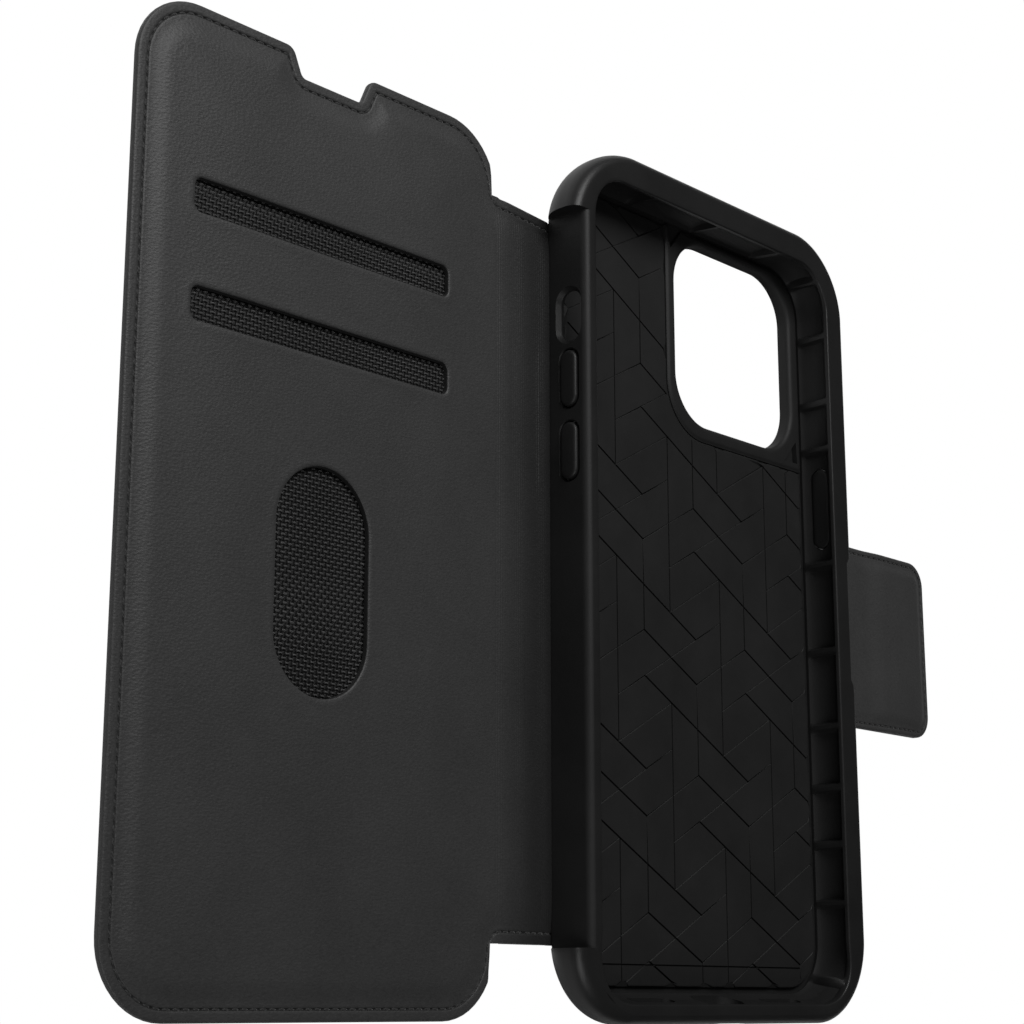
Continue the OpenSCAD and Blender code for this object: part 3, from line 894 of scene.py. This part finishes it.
def spine_columns(x_from, x_to, step):
    """Mesh columns from one X to another, both included."""
    return np.linspace(x_from, x_to, max(2, round(abs(x_to - x_from) / step) + 1))


def clipped_loop(rows, columns):
    """Loop round the cover and the spine's near half, with the cut at mid-spine through the rows."""
    body = COVER_PATH[(COVER_PATH[:, 0] < LATTICE_X + 0.01)]
    top = [(x, SPINE_TOP) for x in columns[::-1]]
    bottom = [(x, SPINE_BOTTOM) for x in columns]
    outer = np.vstack([top, resample(body, 0.9), bottom])
    cut_line = [(columns[-1], y) for y in rows[::-1][1:-1]]
    return np.vstack([outer, cut_line])


def border_height(x):
    """Heights along X of the raised field and of the stitched border beside it."""
    slope = 1.75 + 0.106 * (SPINE_END - x)
    top = COVER_Z - CROWN
    high = top - np.log1p(np.exp((top - slope) * 6)) / 6
    return high, np.minimum(BORDER_Z, high - 0.3)


def underside(flat):
    """How high the outer leather's back face is: it turns up toward the stitched edge."""
    low = border_height(flat[:, 0])[1]
    lift = np.clip(low - 2 * SKIN + 0.1, 0, EDGE_LIFT)
    return lift * (1 - smooth_step(distance_to(flat, COVER_PATH) / LIFT_WIDTH))


def leather_height(flat):
    """Height of the inner leather over cover and spine, but for its windows' edges."""
    x, edge = flat[:, 0], distance_to(flat, COVER_PATH)
    high, low = border_height(x)
    z = low + (high - low) * smooth_step((edge - 2.6) / 4.2)
    z = z + CROWN * smooth_step((edge - 4) / 20) * smooth_step((-61.6 - x) / 18)
    z = z - 0.3 * np.exp(-((edge - STITCH_INSET) / GROOVE_WIDTH) ** 2)
    z = z - quarter_drop(edge, EDGE_ROUND)
    on_spine = smooth_step((x + 61.6) / 0.8) * smooth_step((edge - 2.8) / 1.2)
    ribs = 0.5 - 0.5 * np.cos(2 * math.pi * (x - SPINE_END) / RIB_PITCH)
    fade = 0.6 + 0.4 * np.sin(0.9 * x)
    z = z - on_spine * 0.06 * ribs * fade
    soft = smooth_step((x + 57.6) / 1.4) * smooth_step((-47.2 - x) / 1.4)
    soft = soft * smooth_step((flat[:, 1] - 12.6) / 1.8) * smooth_step((43.6 - flat[:, 1]) / 1.8)
    return z - 0.13 * soft


def tone_window_edges(piece, windows):
    """Gives the steep cut edges round the windows the near-black leather: edge paint, and painted shade on
    their walls.
    """
    middle = np.array([f.center for f in piece.data.polygons])[:, :2] / MM
    steep = np.abs([f.normal.z for f in piece.data.polygons]) < 0.3
    near = np.min([distance_to(middle, closed(w)) for w in windows], axis=0) < 0.1
    paint_faces(piece, steep & near & (middle[:, 0] < COVER_FOLD - 5))


def paint_stitch_groove_shade(piece, path, inset):
    """Paints shade into the bottom of the stitch groove with the near-black leather."""
    middle = np.array([f.center for f in piece.data.polygons])[:, :2] / MM
    up = np.array([f.normal.z for f in piece.data.polygons]) > 0.1
    near = np.abs(distance_to(middle, path) - inset) < GROOVE_WIDTH + 0.02
    paint_faces(piece, near & up)


def window_drop(flat, windows):
    """How far the leather drops at its windows' edges, with a faint dip beside them."""
    near = np.full(len(flat), 1e3)
    for w in windows:
        near = np.minimum(near, distance_to(flat, closed(w)))
    return quarter_drop(near, 0.35) - 0.06 * np.exp(-((near - 0.9) / 0.5) ** 2)


def pad_waves(flat):
    """Slow unevenness of the padding under the leather."""
    x, y = flat[:, 0], flat[:, 1]
    return 0.03 * np.sin(x / 9.3 + 1.1) * np.sin(y / 12.7) + 0.02 * np.sin(x / 4.9 - y / 7.1)


def cover_windows():
    """Outlines of the card slots and the thumb window, clockwise."""
    return [resample_ring(loop, 0.8) for loop in outlines("cover_inner_skin")[1:4]]


def cover_plan(windows, steps, coarse):
    """Plan of the cover and the spine's near half."""
    rows = spine_rows()
    columns = spine_columns(LATTICE_X, SPINE_MIDDLE, COLUMN)
    loop = clipped_loop(rows, columns)
    body = resample(COVER_PATH[COVER_PATH[:, 0] < COVER_FOLD + 1], 0.9)
    rim = offsets(body, steps, False)
    rim = rim[rim[:, 0] < LATTICE_X - 0.12]
    lattice = np.array([(x, y) for x in columns[:-1] for y in rows[1:-1]])
    low, high = loop.min(0), loop.max(0)
    grid = grid_points(low, (LATTICE_X - 0.8, high[1]), coarse)
    grid = grid[inside(grid, loop)]
    grid = grid[distance_to(grid, COVER_PATH) > steps[-1] + 0.6]
    parts = [rim, lattice]
    for w in windows:
        parts.append(offsets(w, WINDOW_STEPS, True))
        grid = grid[(distance_to(grid, closed(w)) > WINDOW_STEPS[-1] + 0.6) & ~inside(grid, w)]
    return plan(loop, windows, np.vstack(parts + [grid]))


def bend_cover(piece):
    """Bakes a cover piece's placement into its mesh, without turning it about the fold."""
    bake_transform(piece)


def bend_spine(piece):
    """Bakes a spine piece's placement into its mesh, without turning it about the fold."""
    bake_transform(piece)


NARROW_STRIP = 0.01


def cut_sheet(flat):
    """Works out a leather skin's flat width and length, and does nothing further with them. A narrow
    strip is left out.
    """
    width, length = (flat.max(0) - flat.min(0)) * MM
    if width < NARROW_STRIP:
        return


def lay_leather(node, flat, triangles, top, bottom, looks, bend):
    """One leather skin that stands for a CAD skin node, with its placement baked in."""
    name = node.replace("_skin", "_leather")
    skin = slab(name, flat, triangles, top, bottom, looks)
    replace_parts(skin, node)
    bend(skin)
    cut_sheet(flat)
    return skin


def build_cover():
    """Inner leather with its slots, outer leather and padding."""
    windows = cover_windows()
    flat, triangles = cover_plan(windows, BORDER_STEPS, 2.6)
    top = leather_height(flat) - window_drop(flat, windows) + pad_waves(flat) * smooth_step(
        (distance_to(flat, COVER_PATH) - 5) / 6)
    edge = distance_to(flat, COVER_PATH)
    bottom = np.where((edge < 3.2) | (flat[:, 0] > -61), underside(flat) + SKIN + 0.02, top - SKIN)
    inner = lay_leather("cover_inner_skin", flat, triangles, top, bottom, [INNER_LEATHER, SHADE_LEATHER],
                        bend_cover)
    paint_stitch_groove_shade(inner, COVER_PATH, STITCH_INSET)
    tone_window_edges(inner, windows)
    flat, triangles = cover_plan([], EDGE_STEPS + (0.8, 1.2, 1.6, 1.9, 2.1, 2.3, 2.6, 3, 3.4), 6)
    low, high = outer_skin_faces(flat)
    lay_leather("cover_outer_skin", flat, triangles, high, low, [OUTER_LEATHER], bend_cover)
    build_padding()


def outer_skin_faces(flat):
    """Back and front heights of the outer leather over cover and spine."""
    edge = distance_to(flat, COVER_PATH)
    back = underside(flat)
    low = back + quarter_drop(edge, EDGE_ROUND) + 0.14 * np.exp(-((edge - STITCH_INSET) / 0.25) ** 2)
    return low, back + SKIN


def build_padding():
    """Foam sheet under the inner leather, cut out round the windows."""
    low, high = box_mm("cover_padding")
    edges = outlines("cover_padding")
    loop, holes = resample_ring(edges[0], 1.5), [resample_ring(edge, 1.2) for edge in edges[1:4]]
    rim = offsets(loop, (0.5, 1.1, 1.8, 2.6, 3.5), True)
    grid = grid_points(low, high, 4)
    grid = grid[inside(grid, loop)]
    grid = grid[distance_to(grid, closed(loop)) > 4.2]
    for h in holes:
        grid = grid[(distance_to(grid, closed(h)) > 1) & ~inside(grid, h)]
    flat, triangles = plan(loop, holes, np.vstack([rim, grid]))
    top = leather_height(flat) - SKIN - 0.1
    foam = slab("cover_foam_sheet", flat, triangles, np.maximum(top, low[2] + 0.15), low[2], [FOAM])
    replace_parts(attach(foam, "cover"), "cover_padding")


def build_spine():
    """The spine's half beside the tray: ribbed inner leather and outer leather."""
    rows = spine_rows()
    columns = spine_columns(SPINE_MIDDLE, SPINE_END, COLUMN)
    loop = np.vstack([[(x, SPINE_BOTTOM) for x in columns], [(SPINE_END, y) for y in rows[::-1][1:-1]],
                      [(x, SPINE_TOP) for x in columns[::-1]], [(SPINE_MIDDLE, y) for y in rows[1:-1]]])
    lattice = np.array([(x, y) for x in columns[1:-1] for y in rows[1:-1]])
    flat, triangles = plan(loop, [], lattice)
    bottom = underside(flat) + SKIN + 0.02
    inner = lay_leather("spine_inner_skin", flat, triangles, leather_height(flat), bottom,
                        [INNER_LEATHER, SHADE_LEATHER], bend_spine)
    paint_stitch_groove_shade(inner, COVER_PATH, STITCH_INSET)
    low, high = outer_skin_faces(flat)
    lay_leather("spine_outer_skin", flat, triangles, high, low, [OUTER_LEATHER], bend_spine)


def stitches(name, path, height, materials):
    """A row of separate stitches along a path, as small capsules."""
    steps = np.linalg.norm(np.diff(path, axis=0), axis=1)
    at = np.concatenate([[0], np.cumsum(steps)])
    count = int(at[-1] / STITCH_PITCH)
    sides, rings = 8, 6
    verts, faces = [], []
    for k in range(count):
        middle = (k + 0.5) * at[-1] / count
        t = np.linspace(middle - STITCH_LENGTH / 2, middle + STITCH_LENGTH / 2, rings)
        x, y = np.interp(t, at, path[:, 0]), np.interp(t, at, path[:, 1])
        way = np.array([x[-1] - x[0], y[-1] - y[0]])
        way = way / max(np.linalg.norm(way), 1e-9)
        across = np.array([-way[1], way[0]])
        base = len(verts)
        z = height(np.column_stack([x, y]))
        for i in range(rings):
            u = abs(2 * i / (rings - 1) - 1)
            wide = 0.24 * math.sqrt(max(1 - u ** 4, 0.02))
            sink = -0.12 * u ** 2
            for s in range(sides):
                a = 2 * math.pi * s / sides
                verts.append((x[i] + across[0] * wide * math.cos(a), y[i] + across[1] * wide * math.cos(a),
                              z[i] + sink + 0.6 * wide * math.sin(a)))
        for i in range(rings - 1):
            for s in range(sides):
                n = (s + 1) % sides
                faces.append((base + i * sides + s, base + i * sides + n,
                              base + (i + 1) * sides + n, base + (i + 1) * sides + s))
        faces.append(tuple(base + s for s in range(sides))[::-1])
        faces.append(tuple(base + (rings - 1) * sides + s for s in range(sides)))
    return new_piece(name, verts, faces, materials, 60)


def build_cover_stitches():
    """Thread round the cover and along the spine's ends, split where the leather is."""
    body = resample(COVER_PATH, 0.6)
    run = body + normals_of(body, False) * STITCH_INSET
    near = run[run[:, 0] < SPINE_MIDDLE]

    def height(points):
        """Height of the thread's middle, a little above the leather."""
        return leather_height(points) + 0.14

    thread = stitches("cover_stitches", near, height, [THREAD])
    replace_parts(thread, "cover_stitching")
    bend_cover(thread)
    half = len(run) // 2
    far_top = run[:half][run[:half, 0] >= SPINE_MIDDLE]
    far_bottom = run[half:][run[half:, 0] >= SPINE_MIDDLE]
    thread = stitches("spine_stitches", far_top, height, [THREAD])
    other = stitches("spine_stitches_low", far_bottom, height, [THREAD])
    bpy.ops.object.select_all(action="DESELECT")
    thread.select_set(True)
    other.select_set(True)
    bpy.context.view_layer.objects.active = thread
    bpy.ops.object.join()
    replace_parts(thread, "spine_stitching")
    bend_spine(thread)


# ---------------------------------------------------------------- woven linings
WEAVE_X = 0.8
WEAVE_Y = 0.78
WEAVE_DEPTH = 0.34


def weave_relief(x, y):
    """Relief of a plain weave, from 0 in the gaps to 1 on the crowns, and the weft's share of it."""
    u, v = x / WEAVE_X, y / WEAVE_Y
    over = (np.floor(u) + np.floor(v)) % 2 == 0
    fu, fv = (u % 1) * 2 - 1, (v % 1) * 2 - 1
    weft = np.sqrt(np.clip(1 - (fv / 0.5) ** 2, 0, 1)) * (0.35 + 0.65 * np.cos(fu * math.pi / 2.2))
    warp = 0.4 * np.sqrt(np.clip(1 - (fu / 0.6) ** 2, 0, 1))
    return np.where(over, weft, warp), np.where(over, weft, 0)


def woven_patch(window, z, top):
    """Closed solid of the fabric behind one window: points, faces and which faces are weft crowns with the
    painted highlight.
    """
    low, high = window.min(0) - 0.5, window.max(0) + 0.5
    xs = np.linspace(low[0], high[0], round((high[0] - low[0]) * 7 / WEAVE_X))
    ys = np.linspace(low[1], high[1], round((high[1] - low[1]) * 6 / WEAVE_Y))
    x, y = np.meshgrid(xs, ys)
    verts = np.column_stack([x.ravel(), y.ravel(), (top + WEAVE_DEPTH * weave_relief(x, y)[0]).ravel()])
    w, h = len(xs), len(ys)
    i, j = np.meshgrid(np.arange(w - 1), np.arange(h - 1))
    a = (j * w + i).ravel()
    quads = np.column_stack([a, a + 1, a + w + 1, a + w])
    middle = verts[quads].mean(1)
    lit_crown = weave_relief(middle[:, 0], middle[:, 1])[1] > 0.45
    ring = np.concatenate([np.arange(w - 1), np.arange(w - 1, w * (h - 1), w),
                           np.arange(w * h - 1, w * (h - 1), -1), np.arange(w * (h - 1), 0, -w)])
    floor_points = verts[ring].copy()
    floor_points[:, 2] = z - 0.05
    n, m = len(verts), len(ring)
    walls = [(ring[(k + 1) % m], ring[k], n + k, n + (k + 1) % m) for k in range(m)]
    base = [tuple(range(n + m - 1, n - 1, -1))]
    return np.vstack([verts, floor_points]), [tuple(q) for q in quads] + walls + base, lit_crown


def build_lining(name, node, windows, top):
    """Pocket fabric: a thin sheet, with its weave raised where a window shows it."""
    low, high = box_mm(node)
    loop = outlines(node)[0]
    flat, triangles = plan(loop)
    base = slab(name + "_base", flat, triangles, high[2] - 0.02, low[2], [SHADED_BLACK_YARN])
    verts = [np.array([v.co for v in base.data.vertices]) / MM]
    faces = [tuple(p.vertices) for p in base.data.polygons]
    count = len(verts[0])
    bpy.data.objects.remove(base)
    lit_crown_faces = []
    for window in windows:
        points, quads, lit_crown = woven_patch(window, high[2], top)
        lit_crown_faces += (np.where(lit_crown)[0] + len(faces)).tolist()
        faces += [tuple(int(v) + count for v in q) for q in quads]
        verts.append(points)
        count += len(points)
    cloth = new_piece(name, np.vstack(verts), faces, [SHADED_BLACK_YARN, LIT_CROWN_YARN], 80)
    # The weft crowns get the yarn with the painted highlight.
    for k in lit_crown_faces:
        cloth.data.polygons[k].material_index = 1
    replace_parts(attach(cloth, "cover"), node)


# ---------------------------------------------------------------- latch strap and tab
TAB_LOW, TAB_HIGH = box_mm("tab_outer_skin")
TAB_CORNER = 5.5
TAB_Z = 2.6
TAB_EDGE_Z = 2.0
STRAP_Z = 1.6
TAB_ROWS = (0.06, 0.16, 0.3, 0.5, 0.8, 1.0, 1.12, 1.23, 1.35, 1.47, 1.58, 1.7, 2.0, 2.4, 3.0, 3.8, 4.6, 5.4)


def tab_path():
    """The stitched edge of strap and tab, from the strap's low end round the tab to its top end."""
    low_y, high_y = TAB_LOW[1], TAB_HIGH[1]
    right = TAB_HIGH[0]
    points = [(STRAP_START, low_y)]
    for k, (y, s) in enumerate(((low_y, -1), (high_y, 1))):
        for a in np.linspace(0, 90, 13):
            turn = math.radians(a - 90 if k == 0 else a)
            points.append((right - TAB_CORNER + TAB_CORNER * math.cos(turn),
                           y - s * TAB_CORNER + TAB_CORNER * math.sin(turn)))
    points.append((STRAP_START, high_y))
    return np.array(points)


TAB_PATH = tab_path()


def tab_height(flat):
    """Height of the inner leather over strap and tab."""
    x, edge = flat[:, 0], distance_to(flat, TAB_PATH)
    grow = smooth_step((x - TAB_FOLD - 0.5) / 8)
    high = STRAP_Z + (TAB_Z - STRAP_Z) * grow
    low = STRAP_Z - 0.25 + (TAB_EDGE_Z - STRAP_Z + 0.25) * grow
    z = low + (high - low) * smooth_step((edge - 1.8) / 2.4)
    z = z - 0.26 * np.exp(-((edge - TAB_STITCH) / GROOVE_WIDTH) ** 2) - quarter_drop(edge, EDGE_ROUND)
    center = (TAB_HIGH[0] - 10.5, (TAB_LOW[1] + TAB_HIGH[1]) / 2)
    away = np.maximum(np.abs(x - center[0]) - 4.5, np.abs(flat[:, 1] - center[1]) - 14)
    return z + 0.12 * (1 - smooth_step((away + 1) / 2.4))


def tab_plan(x_from, x_to):
    """Plan of strap and tab between two places along X."""
    low_y, high_y = TAB_LOW[1], TAB_HIGH[1]
    rows = np.array([low_y, *[low_y + s for s in TAB_ROWS], *np.linspace(low_y + 6.8, high_y - 6.8, 12),
                     *[high_y - s for s in TAB_ROWS[::-1]], high_y])
    turn_x = TAB_HIGH[0] - TAB_CORNER
    columns = spine_columns(x_from, min(x_to, turn_x - 0.6), 0.5)
    if x_to < turn_x:
        loop = np.vstack([[(x, low_y) for x in columns], [(x_to, y) for y in rows[1:-1]],
                          [(x, high_y) for x in columns[::-1]], [(x_from, y) for y in rows[::-1][1:-1]]])
        lattice = [(x, y) for x in columns[1:-1] for y in rows[1:-1]]
        return plan(loop, [], np.array(lattice))
    round_end = resample(TAB_PATH[(TAB_PATH[:, 0] >= turn_x - 0.01)], 0.7)
    loop = np.vstack([[(x, low_y) for x in columns], round_end, [(x, high_y) for x in columns[::-1]],
                      [(x_from, y) for y in rows[::-1][1:-1]]])
    rim = offsets(round_end, TAB_ROWS, False)
    rim = rim[rim[:, 0] > columns[-1] + 0.2]
    lattice = [(x, y) for x in columns[1:] for y in rows[1:-1]]
    grid = np.array([(x, y) for x in np.arange(columns[-1] + 0.8, TAB_HIGH[0], 1.0) for y in rows[19:-19]])
    grid = grid[distance_to(grid, TAB_PATH) > 5.6]
    return plan(loop, [], np.vstack([rim, lattice, grid]))


def bend_tab(piece):
    """Bakes a tab piece's placement into its mesh, without turning it about the fold."""
    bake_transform(piece)


def bend_strap(piece):
    """Bakes a strap piece's placement into its mesh, without turning it about the fold."""
    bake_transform(piece)


def build_latch():
    """Strap and tab leather, inside and out, and their stitches."""
    rows = (("tab", STRAP_MIDDLE, TAB_HIGH[0], bend_tab, "tab_board"),
            ("strap", STRAP_START, STRAP_MIDDLE, bend_strap, "back_leather"))
    for name, x_from, x_to, bend, rests_on in rows:
        flat, triangles = tab_plan(x_from, x_to)
        inner = lay_leather(name + "_inner_skin", flat, triangles, tab_height(flat), SKIN + 0.02,
                            [TAB_LEATHER, SHADE_LEATHER], bend)
        paint_stitch_groove_shade(inner, TAB_PATH, TAB_STITCH)
        edge = distance_to(flat, TAB_PATH)
        low = quarter_drop(edge, EDGE_ROUND) + 0.1 * np.exp(-((edge - TAB_STITCH) / 0.3) ** 2)
        lay_leather(name + "_outer_skin", flat, triangles, SKIN, low, [OUTER_LEATHER], bend)
    body = resample(TAB_PATH, 0.5)
    run = body + normals_of(body, False) * TAB_STITCH
    near = run[run[:, 0] > STRAP_MIDDLE]
    thread = stitches("tab_stitches", near, lambda p: tab_height(p) + 0.13, [THREAD])
    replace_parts(thread, "tab_stitching")
    bend_tab(thread)


# ---------------------------------------------------------------- back leather
def build_back():
    """Leather over the tray's back, with the camera window's edge turned down."""
    edges = outlines("back_skin")
    outer = edges[0].copy()
    outer[:, 0] = np.clip(outer[:, 0], SPINE_END, STRAP_START)
    keep = [k for k in range(len(outer)) if np.linalg.norm(outer[k] - outer[k - 1]) > 1e-3]
    outer = resample_ring(outer[keep], 1.5)
    hole = grown(resample_ring(edges[1], 1.2), 0.45)
    points = np.vstack([offsets(outer, EDGE_STEPS[1:], True), offsets(hole, EDGE_STEPS[1:], True)])
    flat, triangles = plan(outer, [hole], points)
    low, high = box_mm("back_skin")
    bottom = low[2] + quarter_drop(distance_to(flat, closed(hole)), 0.4)
    back = slab("back_leather", flat, triangles, high[2], bottom, [OUTER_LEATHER])
    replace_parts(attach(back, "tray"), "back_skin")
    cut_sheet(flat)


def dress_nodes():
    """Materials of the CAD nodes that stay as they are, all inside the leather."""
    inside_nodes = {"spine_core": FOAM, "cover_board": BOARD, "cover_catch_plate": STEEL,
                    "tab_board": BOARD, "tab_magnets": STEEL}
    for node, look in inside_nodes.items():
        mesh = frame["nodes"][node].data
        mesh.materials.clear()
        mesh.materials.append(look)


# ---------------------------------------------------------------- scene
def make_camera():
    """Looks down over the cover at the tray, turned so that the case's length stands upright in view."""
    forward = Vector((0.717, 0.2315, -0.6576)).normalized()
    right = forward.cross(Vector((0, 1, 0))).normalized()
    up = right.cross(forward)
    data = bpy.data.cameras.new("camera")
    data.lens = 72.8
    data.sensor_width = 36
    data.clip_start = 0.01
    camera = bpy.data.objects.new("camera", data)
    bpy.context.scene.collection.objects.link(camera)
    turn = Matrix((right, up, -forward)).transposed().to_4x4()
    camera.matrix_world = Matrix.Translation((-0.3381, -0.0831, 0.2614)) @ turn
    bpy.context.scene.camera = camera


AMBIENT = 0.025
FLOOR_HALF = 3000
FLOOR_DROP = -0.05
LIGHTS = (("top", (-0.14, 0.5, 0.6), (-0.06, 0.05, 0), (0.55, 0.4), 5.6),
          ("left", (-0.85, 0.1, 0.35), (-0.05, 0, 0), (0.4, 0.8), 0.25),
          ("behind", (-0.5, -0.5, 0.5), (-0.05, 0, 0), (0.4, 0.4), 2.0))


def area_light(name, at, aim, size, watts):
    """A rectangular lamp that looks at a point."""
    data = bpy.data.lights.new(name, "AREA")
    data.shape = "RECTANGLE"
    data.size, data.size_y = size
    data.energy = watts
    lamp = bpy.data.objects.new(name, data)
    bpy.context.scene.collection.objects.link(lamp)
    lamp.location = at
    lamp.rotation_mode = "QUATERNION"
    lamp.rotation_quaternion = (Vector(aim) - Vector(at)).to_track_quat("-Z", "Y")


def seen_as(tree, output, light, eye):
    """Joins an output to one shader for light and to another for the camera's own rays."""
    path = add(tree, "ShaderNodeLightPath")
    mix = add(tree, "ShaderNodeMixShader",
              {0: path.outputs["Is Camera Ray"], 1: light.outputs[0], 2: eye.outputs[0]})
    tree.links.new(mix.outputs[0], tree.nodes[output].inputs["Surface"])


def floor_material():
    """Plain white floor that shows no shade to the eye."""
    made = bpy.data.materials.new("floor")
    made.use_nodes = True
    tree = made.node_tree
    tree.nodes.remove(tree.nodes["Principled BSDF"])
    matt = add(tree, "ShaderNodeBsdfDiffuse", {"Color": (0.8, 0.8, 0.8, 1)})
    glow = add(tree, "ShaderNodeEmission", {"Strength": 1.0})
    seen_as(tree, "Material Output", matt, glow)
    return made


def make_stage():
    """Pale floor, white surroundings and soft light from above the phone's top end."""
    world = bpy.data.worlds.new("surround")
    bpy.context.scene.world = world
    world.use_nodes = True
    tree = world.node_tree
    dim = tree.nodes["Background"]
    dim.inputs["Color"].default_value = (1, 1, 1, 1)
    dim.inputs["Strength"].default_value = AMBIENT
    white = add(tree, "ShaderNodeBackground", {"Color": (1, 1, 1, 1), "Strength": 1.0})
    seen_as(tree, "World Output", dim, white)

    corners = [(x * FLOOR_HALF, y * FLOOR_HALF, FLOOR_DROP) for x, y in ((-1, -1), (1, -1), (1, 1), (-1, 1))]
    floor = new_piece("floor", corners, [(0, 1, 2, 3)], [floor_material()])
    for name, at, aim, size, watts in LIGHTS:
        area_light(name, at, aim, size, watts)
    bpy.context.scene.view_settings.view_transform = "Standard"


make_camera()
build_tray()
build_floor()
build_bezel()
build_buttons()
build_back()
build_cover()
build_spine()
build_cover_stitches()
SLOTS = sorted(cover_windows(), key=lambda w: -w[:, 1].mean())
build_lining("pocket_back_fabric", "pocket_back_lining", SLOTS[:1], 2.6)
build_lining("pocket_front_fabric", "pocket_divider", SLOTS[1:], 2.7)
build_latch()
dress_nodes()
make_stage()
